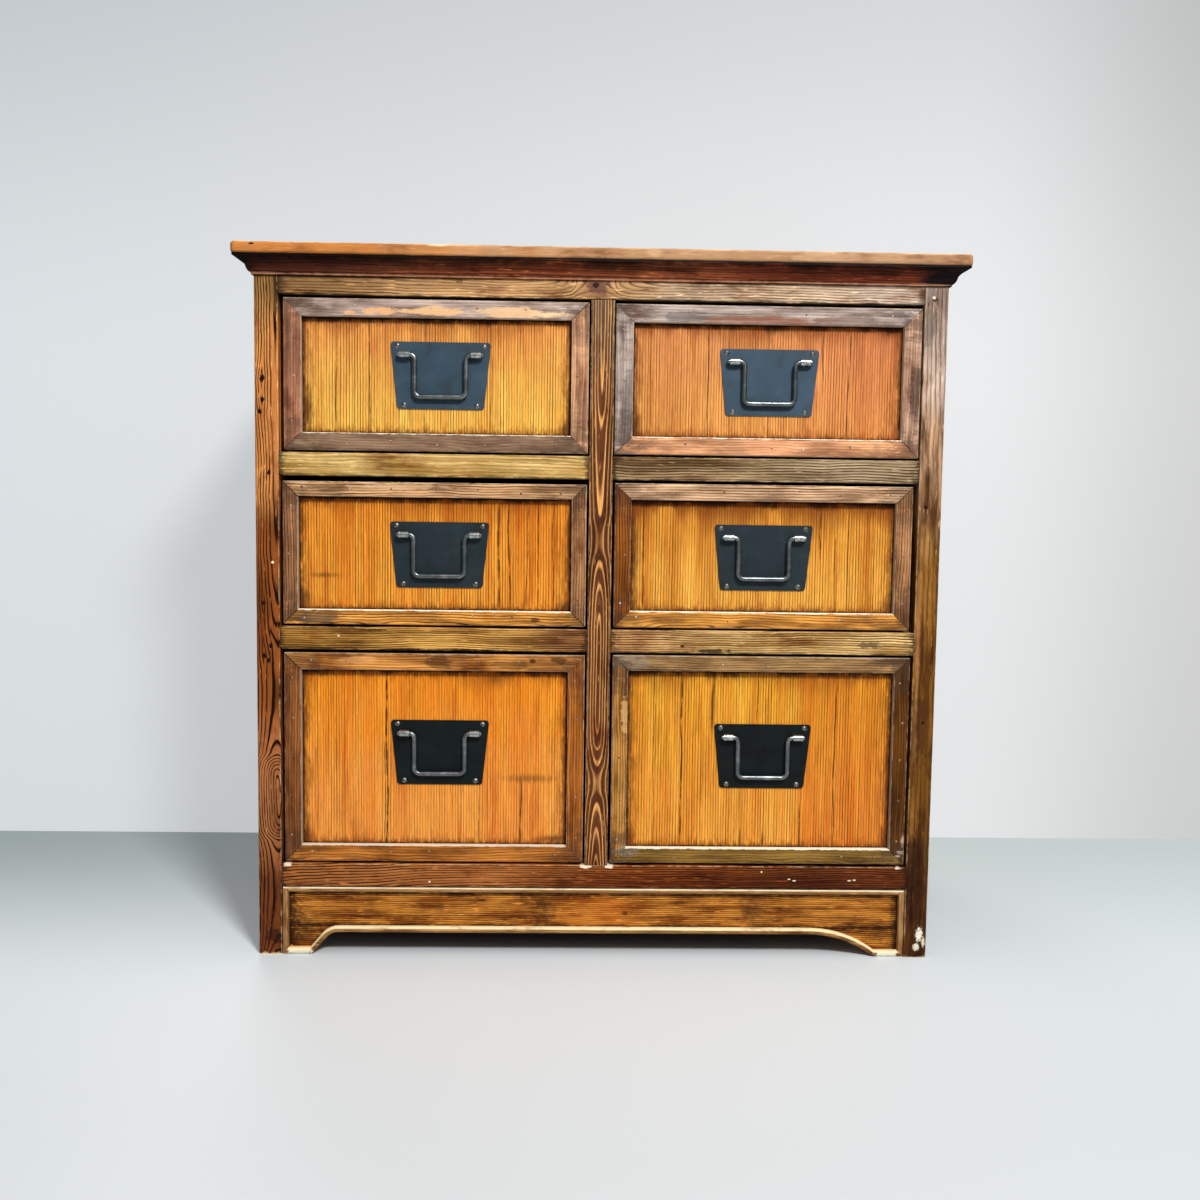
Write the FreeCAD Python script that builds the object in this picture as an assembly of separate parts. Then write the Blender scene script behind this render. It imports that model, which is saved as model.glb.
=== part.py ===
import FreeCAD, Part
import math
import os

Vector = FreeCAD.Vector

# Millimetres. X runs to the right as seen from the front, Y into the chest, Z up.
# The front faces -Y. The origin is on the floor, under the middle of the chest.

# Case
case_width = 852.0
case_depth = 420.0
post_width = 29.0
post_depth = 40.0
post_corner_radius = 2.5
stile_width = 29.0
edge_radius = 1.5

# Heights, from the floor up
apron_height = 88.0
bottom_rail_height = 30.0
lower_opening_height = 272.0
rail_height = 29.0
middle_opening_height = 186.5
upper_opening_height = 190.5
top_rail_height = 45.0
top_thickness = 14.0

# Top
top_overhang = 22.5
top_plank_count = 3
top_corner_radius = 6.0
top_edge_radius = 3.5

# Cornice under the top: its reach and height, and its outline as shares of them, from the top down
cornice_reach = 20.5
cornice_height = 22.0
cornice_lip = (1.0, 0.11)
cornice_cove_middle = (0.68, 0.27)
cornice_cove_end = (0.41, 0.50)
cornice_ogee_start = (0.36, 0.64)
cornice_ogee_middle = (0.28, 0.80)
cornice_ogee_end = (0.12, 0.93)

# Tenons and their mortises
tenon_length = 11.0
tenon_thickness = 10.0
tenon_shoulder = 8.0
mortise_fit = 0.15
mortise_end_gap = 0.5

# Side and back frames, and the panels in their grooves
side_rail_thickness = 20.0
side_bottom_rail_height = 50.0
side_panel_thickness = 10.0
side_panel_inset = 6.0
back_rail_thickness = 22.0
back_panel_thickness = 8.0
back_panel_inset = 7.0
groove_depth = 7.0
groove_end_gap = 1.0
panel_fit = 0.2

# Partition, floor and runners
partition_thickness = 12.0
floor_thickness = 8.0
floor_fit = 0.3
runner_reach = 20.0
runner_height = 20.0
guide_height = 12.0
kicker_height = 20.0

# Apron and its arch: the left end is a straight slope and a tight curve, the right end one long curve
apron_thickness = 20.0
apron_setback = 8.0
arch_height = 28.0
left_foot_width = 38.0
left_slope_degrees = 50.0
left_curve_radius = 20.0
right_foot_width = 40.0
right_curve_radius = 134.0
bead_width = 7.5
bead_depth = 7.0
bead_round = 3.2

# Drawers
front_setback = 1.0
strip_thickness = 9.0
strip_outer_radius = 2.5
strip_inner_radius = 1.2
front_board_thickness = 12.0
gap_under_front = 3.0
running_gap = 0.3
drawer_side_thickness = 10.0
drawer_side_drop = 10.0
drawer_back_thickness = 10.0
drawer_back_drop = 15.0
drawer_bottom_thickness = 6.0
drawer_bottom_height = 8.0
drawer_groove_depth = 4.0
stop_gap = 0.5

# Each drawer as it was fitted by hand: gaps to the left, right and above, the width of its
# frame strips, and how far its handle sits to the right of and above the middle
drawers = {
    "upper_left": {"row": 2, "side": -1, "gaps": (6.0, 2.2, 3.0), "strip": 21.5, "handle": (4.5, 1.0)},
    "upper_right": {"row": 2, "side": 1, "gaps": (1.6, 2.0, 3.7), "strip": 22.0, "handle": (2.0, -1.0)},
    "middle_left": {"row": 1, "side": -1, "gaps": (3.9, 2.7, 6.2), "strip": 18.5, "handle": (5.0, -1.0)},
    "middle_right": {"row": 1, "side": 1, "gaps": (3.4, 6.4, 3.5), "strip": 20.5, "handle": (1.0, -1.0)},
    "lower_left": {"row": 0, "side": -1, "gaps": (4.4, 2.6, 4.0), "strip": 21.0, "handle": (6.0, 6.5)},
    "lower_right": {"row": 0, "side": 1, "gaps": (3.4, 3.2, 3.1), "strip": 19.5, "handle": (4.0, 4.5)},
}

# Handle: a tapered plate with two rolled ears, and a bail of round rod that swings in them
plate_top_width = 124.0
plate_bottom_width = 107.0
plate_height = 82.0
plate_thickness = 1.5
plate_corner_radius = 4.0
pivot_below_plate_top = 16.0
ear_wall = 1.3
ear_length = 12.0
ear_lift = 1.0
ear_foot_height = 6.0
bail_rod_radius = 3.0
bail_fit = 0.1
bail_leg_spacing = 63.0
bail_drop = 51.3
bail_top_bend = 6.2
bail_bottom_bend = 7.5
bail_end_reach = 3.0
bail_end_round = 1.4
ear_to_bend_gap = 0.3
screw_head_radius = 3.4
screw_head_height = 1.7
screw_shank_radius = 1.6
screw_length = 11.0
screw_fit = 0.1
screw_edge_distance = 4.8
screw_end_distance = 8.6
cross_width = 0.9
cross_length = 3.8
cross_depth = 1.0

# Places worked out from the sizes above
half_width = case_width / 2
inner_half = half_width - post_width
half_stile = stile_width / 2
front_y = top_overhang / 2 - case_depth / 2
back_y = front_y + case_depth
frame_back_y = front_y + post_depth
bottom_rail_z = apron_height
lower_z = bottom_rail_z + bottom_rail_height
lower_rail_z = lower_z + lower_opening_height
middle_z = lower_rail_z + rail_height
upper_rail_z = middle_z + middle_opening_height
upper_z = upper_rail_z + rail_height
top_rail_z = upper_z + upper_opening_height
top_z = top_rail_z + top_rail_height
openings = [(lower_z, lower_rail_z), (middle_z, upper_rail_z), (upper_z, top_rail_z)]
side_inner_x = half_width - side_rail_thickness
back_frame_y = back_y - back_rail_thickness
back_panel_front_y = back_y - back_panel_inset - back_panel_thickness
board_face_y = front_y + front_setback + strip_thickness
ear_bore_radius = bail_rod_radius + bail_fit
ear_radius = ear_bore_radius + ear_wall
pivot_out = plate_thickness + ear_lift + ear_radius
ear_inner_x = bail_leg_spacing / 2 + bail_top_bend + ear_to_bend_gap


def box(x0, x1, y0, y1, z0, z1):
    corner = Vector(min(x0, x1), min(y0, y1), min(z0, z1))
    return Part.makeBox(abs(x1 - x0), abs(y1 - y0), abs(z1 - z0), corner)


def face_of(points):
    return Part.Face(Part.makePolygon(points + points[:1]))


def upright_prism(points, y0, y1):
    """A solid whose outline of (x, z) points stands in the front's plane."""
    return face_of([Vector(x, y0, z) for x, z in points]).extrude(Vector(0, y1 - y0, 0))


def flat_prism(points, z0, z1):
    """A solid whose outline of (x, y) points lies flat."""
    return face_of([Vector(x, y, z0) for x, y in points]).extrude(Vector(0, 0, z1 - z0))


def rounded(shape, radius, wanted):
    """Rounds the straight edges for which wanted(start, end) is true."""
    edges = []
    for edge in shape.Edges:
        if len(edge.Vertexes) == 2 and wanted(edge.Vertexes[0].Point, edge.Vertexes[1].Point):
            edges.append(edge)
    return shape.makeFillet(radius, edges)


def on_plane(axis, value):
    """A test for the edges that lie in the plane where the axis has this value."""
    return lambda a, b: abs(a[axis] - value) < 1e-6 and abs(b[axis] - value) < 1e-6


def bar(x0, x1, y0, y1, z0, z1, along):
    """A bar with its two long front edges eased, or its two long outer ones on a side."""
    shape = box(x0, x1, y0, y1, z0, z1)
    front = on_plane(1, min(y0, y1))

    def eased(a, b):
        return front(a, b) and abs(a[along] - b[along]) > edge_radius * 3
    return rounded(shape, edge_radius, eased)


def tenon(end, way, y_middle, z0, z1, grown=0.0, longer=0.0):
    """A tenon, or its mortise when grown, out of an end at x = end."""
    half = tenon_thickness / 2 + grown
    return box(end, end + way * (tenon_length + longer),
               y_middle - half, y_middle + half,
               z0 + tenon_shoulder - grown, z1 - tenon_shoulder + grown)


def mortise(end, way, y_middle, z0, z1):
    return tenon(end, way, y_middle, z0, z1, mortise_fit, mortise_end_gap)


def side_tenon(end, way, x_middle, z0, z1, grown=0.0, longer=0.0):
    """The same on a rail that runs from front to back."""
    half = tenon_thickness / 2 + grown
    return box(x_middle - half, x_middle + half,
               end, end + way * (tenon_length + longer),
               z0 + tenon_shoulder - grown, z1 - tenon_shoulder + grown)


def side_mortise(end, way, x_middle, z0, z1):
    return side_tenon(end, way, x_middle, z0, z1, mortise_fit, mortise_end_gap)


def front_rails():
    """Every rail of the front frame: its name and its left, right, lower and upper limits."""
    rails = {
        "top_rail": (-inner_half, inner_half, top_rail_z, top_z),
        "bottom_rail": (-inner_half, inner_half, bottom_rail_z, lower_z),
    }
    for level, z in (("upper", upper_rail_z), ("lower", lower_rail_z)):
        rails[level + "_left_rail"] = (-inner_half, -half_stile, z, z + rail_height)
        rails[level + "_right_rail"] = (half_stile, inner_half, z, z + rail_height)
    return rails


def stile_tenon(z_end, way, grown=0.0, longer=0.0):
    half = half_stile - tenon_shoulder + grown
    y_middle = front_y + post_depth / 2
    depth = tenon_thickness / 2 + grown
    return box(-half, half, y_middle - depth, y_middle + depth, z_end, z_end + way * (tenon_length + longer))


def make_front_frame(parts):
    y_middle = front_y + post_depth / 2
    mortises = []
    for name, (x0, x1, z0, z1) in front_rails().items():
        rail = bar(x0, x1, front_y, frame_back_y, z0, z1, 0)
        for end, way in ((x0, -1), (x1, 1)):
            rail = rail.fuse(tenon(end, way, y_middle, z0, z1))
            mortises.append(mortise(end, way, y_middle, z0, z1))
        if name == "top_rail":
            rail = rail.cut(stile_tenon(z0, 1, mortise_fit, mortise_end_gap))
        if name == "bottom_rail":
            rail = rail.cut(stile_tenon(z1, -1, mortise_fit, mortise_end_gap))
        parts[name] = [rail.removeSplitter()]

    stile = bar(-half_stile, half_stile, front_y, frame_back_y, lower_z, top_rail_z, 2)
    stile = stile.fuse([stile_tenon(top_rail_z, 1), stile_tenon(lower_z, -1)])
    parts["centre_stile"] = [stile.cut(mortises).removeSplitter()]
    return mortises


def side_rail_levels():
    return (lower_z - side_bottom_rail_height, lower_z), (top_rail_z, top_z)


def side_rail_x(side):
    return side * (half_width - side_rail_thickness / 2)


def side_panel_box(side, reach, grown=0.0):
    """The panel of one side, or its groove when grown. It reaches into the frame all round."""
    outer = half_width - side_panel_inset + grown
    inner = half_width - side_panel_inset - side_panel_thickness - grown
    return box(side * inner, side * outer,
               frame_back_y - reach, back_y - post_depth + reach,
               lower_z - reach, top_rail_z + reach)


def back_panel_box(reach, grown=0.0):
    return box(-inner_half - reach, inner_half + reach,
               back_panel_front_y - grown, back_panel_front_y + back_panel_thickness + grown,
               lower_z - reach, top_rail_z + reach)


def back_rail_levels():
    return (bottom_rail_z, lower_z), (top_rail_z, top_z)


def make_sides_and_back(parts):
    mortises = []
    side_rails = []
    tongue = groove_depth - groove_end_gap
    for side in (-1, 1):
        groove = side_panel_box(side, groove_depth, panel_fit)
        for z0, z1 in side_rail_levels():
            rail = box(side * side_inner_x, side * half_width, frame_back_y, back_y - post_depth, z0, z1)
            for end, way in ((frame_back_y, -1), (back_y - post_depth, 1)):
                rail = rail.fuse(side_tenon(end, way, side_rail_x(side), z0, z1))
                mortises.append(side_mortise(end, way, side_rail_x(side), z0, z1))
            side_rails.append(rail.cut(groove).removeSplitter())
        name = "left_side_panel" if side < 0 else "right_side_panel"
        parts[name] = [side_panel_box(side, tongue)]
        mortises.append(groove)
    parts["side_rails"] = side_rails

    groove = back_panel_box(groove_depth, panel_fit)
    y_middle = back_y - back_rail_thickness / 2
    back_rails = []
    for z0, z1 in back_rail_levels():
        rail = box(-inner_half, inner_half, back_frame_y, back_y, z0, z1)
        for end, way in ((-inner_half, -1), (inner_half, 1)):
            rail = rail.fuse(tenon(end, way, y_middle, z0, z1))
            mortises.append(mortise(end, way, y_middle, z0, z1))
        back_rails.append(rail.cut(groove).removeSplitter())
    parts["back_rails"] = back_rails
    parts["back_panel"] = [back_panel_box(tongue)]
    mortises.append(groove)
    return mortises


def upright_at(x, y):
    """A test for the upright edge that passes through this place."""
    return lambda a, b: all(abs(p.x - x) < 1e-6 and abs(p.y - y) < 1e-6 for p in (a, b))


def make_posts(parts, mortises):
    for side, side_name in ((-1, "left"), (1, "right")):
        inner_x, outer_x = side * inner_half, side * half_width
        front = box(inner_x, outer_x, front_y, frame_back_y, 0, top_z)
        front = rounded(front, post_corner_radius, upright_at(outer_x, front_y))
        front = rounded(front, edge_radius, upright_at(inner_x, front_y))
        back = box(inner_x, outer_x, back_y - post_depth, back_y, 0, top_z)
        back = rounded(back, post_corner_radius, upright_at(outer_x, back_y))
        parts["front_" + side_name + "_post"] = [front.cut(mortises)]
        parts["back_" + side_name + "_post"] = [back.cut(mortises)]


def make_top(parts):
    x = half_width + top_overhang
    y0 = front_y - top_overhang
    slab = box(-x, x, y0, back_y, top_z, top_z + top_thickness)
    slab = rounded(slab, top_corner_radius, lambda a, b: abs(a.z - b.z) > top_thickness / 2)
    rims = [edge for edge in slab.Edges if edge.BoundBox.ZLength < 1e-6]
    slab = slab.makeFillet(top_edge_radius, rims)
    width = (back_y - y0) / top_plank_count
    planks = []
    for i in range(top_plank_count):
        zone = box(-x - 1, x + 1, y0 + width * i, y0 + width * (i + 1), top_z - 1, top_z + top_thickness + 1)
        planks.append(slab.common(zone))
    parts["top_planks"] = planks


def cornice_face(place):
    """The cornice's outline. place(out, down) turns shares of its reach and height into a point."""
    def at(share):
        return place(share[0] * cornice_reach, share[1] * cornice_height)
    lip, cove, ogee = at(cornice_lip), at(cornice_cove_end), at(cornice_ogee_start)
    edges = [
        Part.LineSegment(at((0, 0)), at((1, 0))).toShape(),
        Part.LineSegment(at((1, 0)), lip).toShape(),
        Part.Arc(lip, at(cornice_cove_middle), cove).toShape(),
        Part.LineSegment(cove, ogee).toShape(),
        Part.Arc(ogee, at(cornice_ogee_middle), at(cornice_ogee_end)).toShape(),
        Part.LineSegment(at(cornice_ogee_end), at((cornice_ogee_end[0], 1))).toShape(),
        Part.LineSegment(at((cornice_ogee_end[0], 1)), at((0, 1))).toShape(),
        Part.LineSegment(at((0, 1)), at((0, 0))).toShape(),
    ]
    return Part.Face(Part.Wire(edges))


def make_cornice(parts):
    """A front and two side lengths, mitred at the front corners."""
    reach = cornice_reach
    low = top_z - cornice_height - 1
    high = top_z + 1
    far = half_width + reach
    front_face = cornice_face(lambda out, down: Vector(-far, front_y - out, top_z - down))
    front = front_face.extrude(Vector(2 * far, 0, 0))
    front_zone = flat_prism([(-half_width, front_y), (-far, front_y - reach), (far, front_y - reach),
                             (half_width, front_y)], low, high)
    lengths = [front.common(front_zone)]
    for side in (-1, 1):
        side_face = cornice_face(lambda out, down: Vector(side * (half_width + out), front_y - reach, top_z - down))
        length = side_face.extrude(Vector(0, case_depth + reach, 0))
        side_zone = flat_prism([(side * half_width, front_y), (side * far, front_y - reach),
                                (side * far, back_y), (side * half_width, back_y)], low, high)
        lengths.append(length.common(side_zone))
    parts["cornice"] = lengths


def make_inside(parts):
    """The partition behind the stile, the floor, and the runners, guides and kickers."""
    floor_top = lower_z - runner_height
    half = partition_thickness / 2
    parts["partition"] = [box(-half, half, frame_back_y, back_frame_y, floor_top, top_z)]
    x = inner_half - floor_fit
    parts["case_floor"] = [box(-x, x, frame_back_y, back_frame_y, floor_top - floor_thickness, floor_top)]

    runners = []
    y0, y1 = frame_back_y, back_y - post_depth
    for side in (-1, 1):
        for wall, guide, tip in ((side_inner_x, inner_half, inner_half - runner_reach),
                                 (half, half_stile, half_stile + runner_reach)):
            for z, _ in openings:
                ledge = box(side * wall, side * tip, y0, y1, z - runner_height, z)
                guide_bar = box(side * wall, side * guide, y0, y1, z, z + guide_height)
                runners.append(ledge.fuse(guide_bar).removeSplitter())
            runners.append(box(side * wall, side * tip, y0, y1, top_rail_z, top_rail_z + kicker_height))
    parts["drawer_runners"] = runners


def arch_outline():
    """The apron's outline in (x, z), with its arch cut out, as edges in the apron's front plane."""
    y = front_y + apron_setback
    left_foot = -inner_half + left_foot_width
    right_foot = inner_half - right_foot_width
    slope = math.radians(left_slope_degrees)
    rise = arch_height - left_curve_radius * (1 - math.cos(slope))
    curve_start = (left_foot + rise / math.tan(slope), rise)
    curve_end = (curve_start[0] + left_curve_radius * math.sin(slope), arch_height)
    half_slope = slope / 2
    curve_middle = (curve_end[0] - left_curve_radius * math.sin(half_slope),
                    arch_height - left_curve_radius * (1 - math.cos(half_slope)))
    turn = math.acos(1 - arch_height / right_curve_radius)
    right_start = (right_foot - right_curve_radius * math.sin(turn), arch_height)
    right_middle = (right_start[0] + right_curve_radius * math.sin(turn / 2),
                    arch_height - right_curve_radius * (1 - math.cos(turn / 2)))

    def point(pair):
        return Vector(pair[0], y, pair[1])

    def line(a, b):
        return Part.LineSegment(point(a), point(b)).toShape()
    return [
        line((-inner_half, 0), (left_foot, 0)),
        line((left_foot, 0), curve_start),
        Part.Arc(point(curve_start), point(curve_middle), point(curve_end)).toShape(),
        line(curve_end, right_start),
        Part.Arc(point(right_start), point(right_middle), point((right_foot, 0))).toShape(),
        line((right_foot, 0), (inner_half, 0)),
        line((inner_half, 0), (inner_half, apron_height)),
        line((inner_half, apron_height), (-inner_half, apron_height)),
        line((-inner_half, apron_height), (-inner_half, 0)),
    ]


def make_apron(parts):
    """The board under the bottom rail, and the bead that frames its face."""
    outline = Part.Wire(arch_outline())
    face = Part.Face(outline)
    parts["apron"] = [face.extrude(Vector(0, apron_thickness, 0))]

    inner = outline.makeOffset2D(-bead_width)
    ring = face.cut(Part.Face(inner)).extrude(Vector(0, -bead_depth, 0))
    crest = on_plane(1, front_y + apron_setback - bead_depth)
    edges = [e for e in ring.Edges if all(crest(v.Point, v.Point) for v in e.Vertexes)]
    ring = ring.makeFillet(min(bead_round, bead_width * 0.45, bead_depth * 0.9), edges)
    y0 = front_y + apron_setback - bead_depth - 1
    y1 = front_y + apron_setback
    reach = apron_height / 2
    top_zone = upright_prism([(-inner_half, apron_height), (-inner_half + reach, apron_height - reach),
                              (inner_half - reach, apron_height - reach), (inner_half, apron_height)], y0, y1)
    zones = [top_zone]
    for side in (-1, 1):
        zones.append(upright_prism([(side * inner_half, 0), (side * (inner_half - reach), reach),
                                    (side * inner_half, apron_height)], y0, y1))
    parts["apron_beads"] = [ring.common(zone) for zone in zones]
    parts["arch_bead"] = [ring.cut(zones)]


def drawer_limits(drawer):
    """The front's left, right, lower and upper limits."""
    left_gap, right_gap, top_gap = drawer["gaps"]
    z0, z1 = openings[drawer["row"]]
    if drawer["side"] < 0:
        x0, x1 = -inner_half, -half_stile
    else:
        x0, x1 = half_stile, inner_half
    return x0 + left_gap, x1 - right_gap, z0 + gap_under_front, z1 - top_gap


def pivot_of(drawer):
    """Where the bail's axis crosses the middle of the handle."""
    x0, x1, z0, z1 = drawer_limits(drawer)
    right, up = drawer["handle"]
    plate_top = (z0 + z1) / 2 + up + plate_height / 2
    return Vector((x0 + x1) / 2 + right, board_face_y - pivot_out, plate_top - pivot_below_plate_top)


def screw_places():
    """The four screws, as (x, z) from the middle of the bail's axis."""
    top = pivot_below_plate_top - screw_edge_distance
    bottom = pivot_below_plate_top - plate_height + screw_edge_distance
    places = []
    for z, width in ((top, plate_top_width), (bottom, plate_bottom_width)):
        places.extend([(-width / 2 + screw_end_distance, z), (width / 2 - screw_end_distance, z)])
    return places


def rod_along_y(x, z, radius, y0, y1):
    return Part.makeCylinder(radius, y1 - y0, Vector(x, y0, z), Vector(0, 1, 0))


def make_screw(x, z):
    """A domed screw with a cross recess. Its seat is the plate's front face."""
    seat = pivot_out - plate_thickness
    head_ball = (screw_head_radius ** 2 + screw_head_height ** 2) / (2 * screw_head_height)
    ball = Part.makeSphere(head_ball, Vector(x, seat - screw_head_height + head_ball, z))
    head = ball.common(rod_along_y(x, z, screw_head_radius, seat - screw_head_height, seat))
    crown = seat - screw_head_height
    half, arm = cross_width / 2, cross_length / 2
    cross = box(x - half, x + half, crown, crown + cross_depth, z - arm, z + arm)
    cross = cross.fuse(box(x - arm, x + arm, crown, crown + cross_depth, z - half, z + half))
    shank = rod_along_y(x, z, screw_shank_radius, seat, seat + screw_length)
    return head.cut(cross).fuse(shank)


def make_handle():
    """The plate, the bail and the screws, around the middle of the bail's axis."""
    back = pivot_out
    top = pivot_below_plate_top
    plate = upright_prism([(-plate_top_width / 2, top), (plate_top_width / 2, top),
                           (plate_bottom_width / 2, top - plate_height),
                           (-plate_bottom_width / 2, top - plate_height)], back - plate_thickness, back)
    plate = rounded(plate, plate_corner_radius, lambda a, b: abs(a.y - b.y) > plate_thickness / 2)
    ears = []
    for side in (-1, 1):
        x0 = min(side * ear_inner_x, side * (ear_inner_x + ear_length))
        tube = Part.makeCylinder(ear_radius, ear_length, Vector(x0, 0, 0), Vector(1, 0, 0))
        foot = box(x0, x0 + ear_length, 0, back - plate_thickness, -ear_foot_height / 2, ear_foot_height / 2)
        bore = Part.makeCylinder(ear_bore_radius, ear_length, Vector(x0, 0, 0), Vector(1, 0, 0))
        ears.append(tube.fuse(foot).cut(bore))
    plate = plate.fuse(ears)
    holes = [rod_along_y(x, z, screw_shank_radius + screw_fit, 0, back) for x, z in screw_places()]
    plate = plate.cut(holes).removeSplitter()
    screws = [make_screw(x, z) for x, z in screw_places()]
    return plate, make_bail(), screws


def make_bail():
    """One round rod: out through the ears, down the legs and across the grip."""
    end = ear_inner_x + ear_length + bail_end_reach
    leg = bail_leg_spacing / 2
    top, bottom, low = bail_top_bend, bail_bottom_bend, -bail_drop

    def arc_middle(centre_x, centre_z, radius, towards_x, towards_z):
        reach = radius / math.sqrt(2)
        return Vector(centre_x + towards_x * reach, 0, centre_z + towards_z * reach)

    def half_path(side):
        """From the end in the ear to the middle of the grip."""
        ear = Vector(side * (leg + top), 0, 0)
        leg_top = Vector(side * leg, 0, -top)
        leg_low = Vector(side * leg, 0, low + bottom)
        grip = Vector(side * (leg - bottom), 0, low)
        return [
            Part.LineSegment(Vector(side * end, 0, 0), ear).toShape(),
            Part.Arc(ear, arc_middle(side * (leg + top), -top, top, -side, 1), leg_top).toShape(),
            Part.LineSegment(leg_top, leg_low).toShape(),
            Part.Arc(leg_low, arc_middle(side * (leg - bottom), low + bottom, bottom, side, -1), grip).toShape(),
            Part.LineSegment(grip, Vector(0, 0, low)).toShape(),
        ]
    path = Part.Wire(Part.sortEdges(half_path(-1) + half_path(1))[0])
    section = Part.Wire(Part.makeCircle(bail_rod_radius, Vector(-end, 0, 0), Vector(1, 0, 0)))
    rod = path.makePipeShell([section], True, False)
    ends = [e for e in rod.Edges if abs(abs(e.CenterOfMass.x) - end) < 1e-6]
    return rod.makeFillet(bail_end_round, ends)


def make_drawer_frame(x0, x1, z0, z1, width):
    """Four mitred strips. Their long edges are eased, the outer ones more."""
    y0, y1 = front_y + front_setback, board_face_y
    outer = [(x0, z1), (x1, z1), (x1, z0), (x0, z0)]
    inner = [(x0 + width, z1 - width), (x1 - width, z1 - width), (x1 - width, z0 + width), (x0 + width, z0 + width)]
    strips = []
    for i in range(4):
        j = (i + 1) % 4
        strip = upright_prism([outer[i], outer[j], inner[j], inner[i]], y0, y1)
        for (a, b), radius in (((outer[i], outer[j]), strip_outer_radius), ((inner[i], inner[j]), strip_inner_radius)):
            middle = Vector((a[0] + b[0]) / 2, y0, (a[1] + b[1]) / 2)
            edge = [e for e in strip.Edges if e.CenterOfMass.distanceToPoint(middle) < 1e-3]
            strip = strip.makeFillet(radius, edge)
        strips.append(strip)
    return strips


def make_drawer_box(x0, x1, z_low, z_high):
    """Two sides, a back that stands on the bottom, and the bottom in the sides' grooves."""
    y0 = board_face_y + front_board_thickness
    y1 = back_panel_front_y - stop_gap
    bottom_low = z_low + drawer_bottom_height
    bottom_high = bottom_low + drawer_bottom_thickness
    tongue = drawer_groove_depth - panel_fit
    groove = box(x0 + drawer_side_thickness - drawer_groove_depth, x1 - drawer_side_thickness + drawer_groove_depth,
                 y0, y1, bottom_low, bottom_high)
    left = box(x0, x0 + drawer_side_thickness, y0, y1, z_low, z_high).cut(groove)
    right = box(x1 - drawer_side_thickness, x1, y0, y1, z_low, z_high).cut(groove)
    back = box(x0 + drawer_side_thickness, x1 - drawer_side_thickness, y1 - drawer_back_thickness, y1,
               bottom_high, z_high - drawer_back_drop)
    bottom = box(x0 + drawer_side_thickness - tongue, x1 - drawer_side_thickness + tongue,
                 y0, y1, bottom_low, bottom_high)
    return [left, right, back, bottom]


def make_drawers(parts):
    plate, bail, screws = make_handle()
    for name, drawer in drawers.items():
        x0, x1, z0, z1 = drawer_limits(drawer)
        pivot = pivot_of(drawer)
        board = box(x0, x1, board_face_y, board_face_y + front_board_thickness, z0, z1)
        holes = [rod_along_y(pivot.x + x, pivot.z + z, screw_shank_radius + screw_fit,
                             board_face_y, board_face_y + screw_length - plate_thickness + screw_fit)
                 for x, z in screw_places()]
        parts[name + "_drawer_panel"] = [board.cut(holes)]
        parts[name + "_drawer_frame"] = make_drawer_frame(x0, x1, z0, z1, drawer["strip"])
        z_low = openings[drawer["row"]][0] + running_gap
        parts[name + "_drawer_box"] = make_drawer_box(x0, x1, z_low, z1 - drawer_side_drop)
        for node, solids in (("_handle_plate", [plate]), ("_bail", [bail]), ("_handle_screws", screws)):
            parts[name + node] = [solid.translated(pivot) for solid in solids]


def build():
    parts = {}
    mortises = make_front_frame(parts)
    mortises += make_sides_and_back(parts)
    make_posts(parts, mortises)
    make_top(parts)
    make_cornice(parts)
    make_inside(parts)
    make_apron(parts)
    make_drawers(parts)
    return parts


os.makedirs("parts", exist_ok=True)
for node, pieces in build().items():
    solids = [solid for piece in pieces for solid in piece.Solids]
    shape = solids[0] if len(solids) == 1 else Part.Compound(solids)
    if not shape.isValid():
        raise RuntimeError(node + " isn't a valid shape")
    shape.exportStep("parts/" + node + ".step")
    print(node, len(solids), "solid(s)", round(shape.Volume / 1000, 1), "cm3")
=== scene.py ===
import math
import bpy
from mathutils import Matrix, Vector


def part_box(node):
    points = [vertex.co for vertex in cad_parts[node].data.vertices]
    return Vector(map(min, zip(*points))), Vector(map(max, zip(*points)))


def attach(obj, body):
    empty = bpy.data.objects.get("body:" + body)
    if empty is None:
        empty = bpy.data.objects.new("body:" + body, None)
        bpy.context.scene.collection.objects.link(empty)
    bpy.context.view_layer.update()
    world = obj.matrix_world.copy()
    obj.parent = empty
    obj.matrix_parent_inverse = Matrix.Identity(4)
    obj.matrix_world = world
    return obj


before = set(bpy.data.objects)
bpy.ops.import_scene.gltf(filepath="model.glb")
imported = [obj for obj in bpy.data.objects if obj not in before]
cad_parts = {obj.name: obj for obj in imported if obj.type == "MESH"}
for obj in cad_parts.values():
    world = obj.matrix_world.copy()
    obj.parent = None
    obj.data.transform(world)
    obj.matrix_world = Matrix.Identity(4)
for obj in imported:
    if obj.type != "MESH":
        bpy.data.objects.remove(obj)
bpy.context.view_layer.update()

from types import SimpleNamespace

import bpy
from mathutils import Matrix, Vector

print("frame loaded:", len(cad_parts), "nodes")

drawerNames = [row + "_" + side for row in ("upper", "middle", "lower") for side in ("left", "right")]


def srgb(code):                    # "#rrggbb" as the linear colour that a socket takes
    parts = [int(code[i:i + 2], 16) / 255 for i in (1, 3, 5)]
    return tuple(p / 12.92 if p <= 0.04045 else ((p + 0.055) / 1.055) ** 2.4 for p in parts) + (1.0,)


def boxOf(node):                   # middle and half size of a CAD node
    low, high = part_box(node)
    return (low + high) / 2, (high - low) / 2


def sumOf(operation):              # the same sum with the wire first, and with the wire second
    return (lambda wire, other: wire.bench.calc(operation, wire, other),
            lambda wire, other: wire.bench.calc(operation, other, wire))


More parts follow.
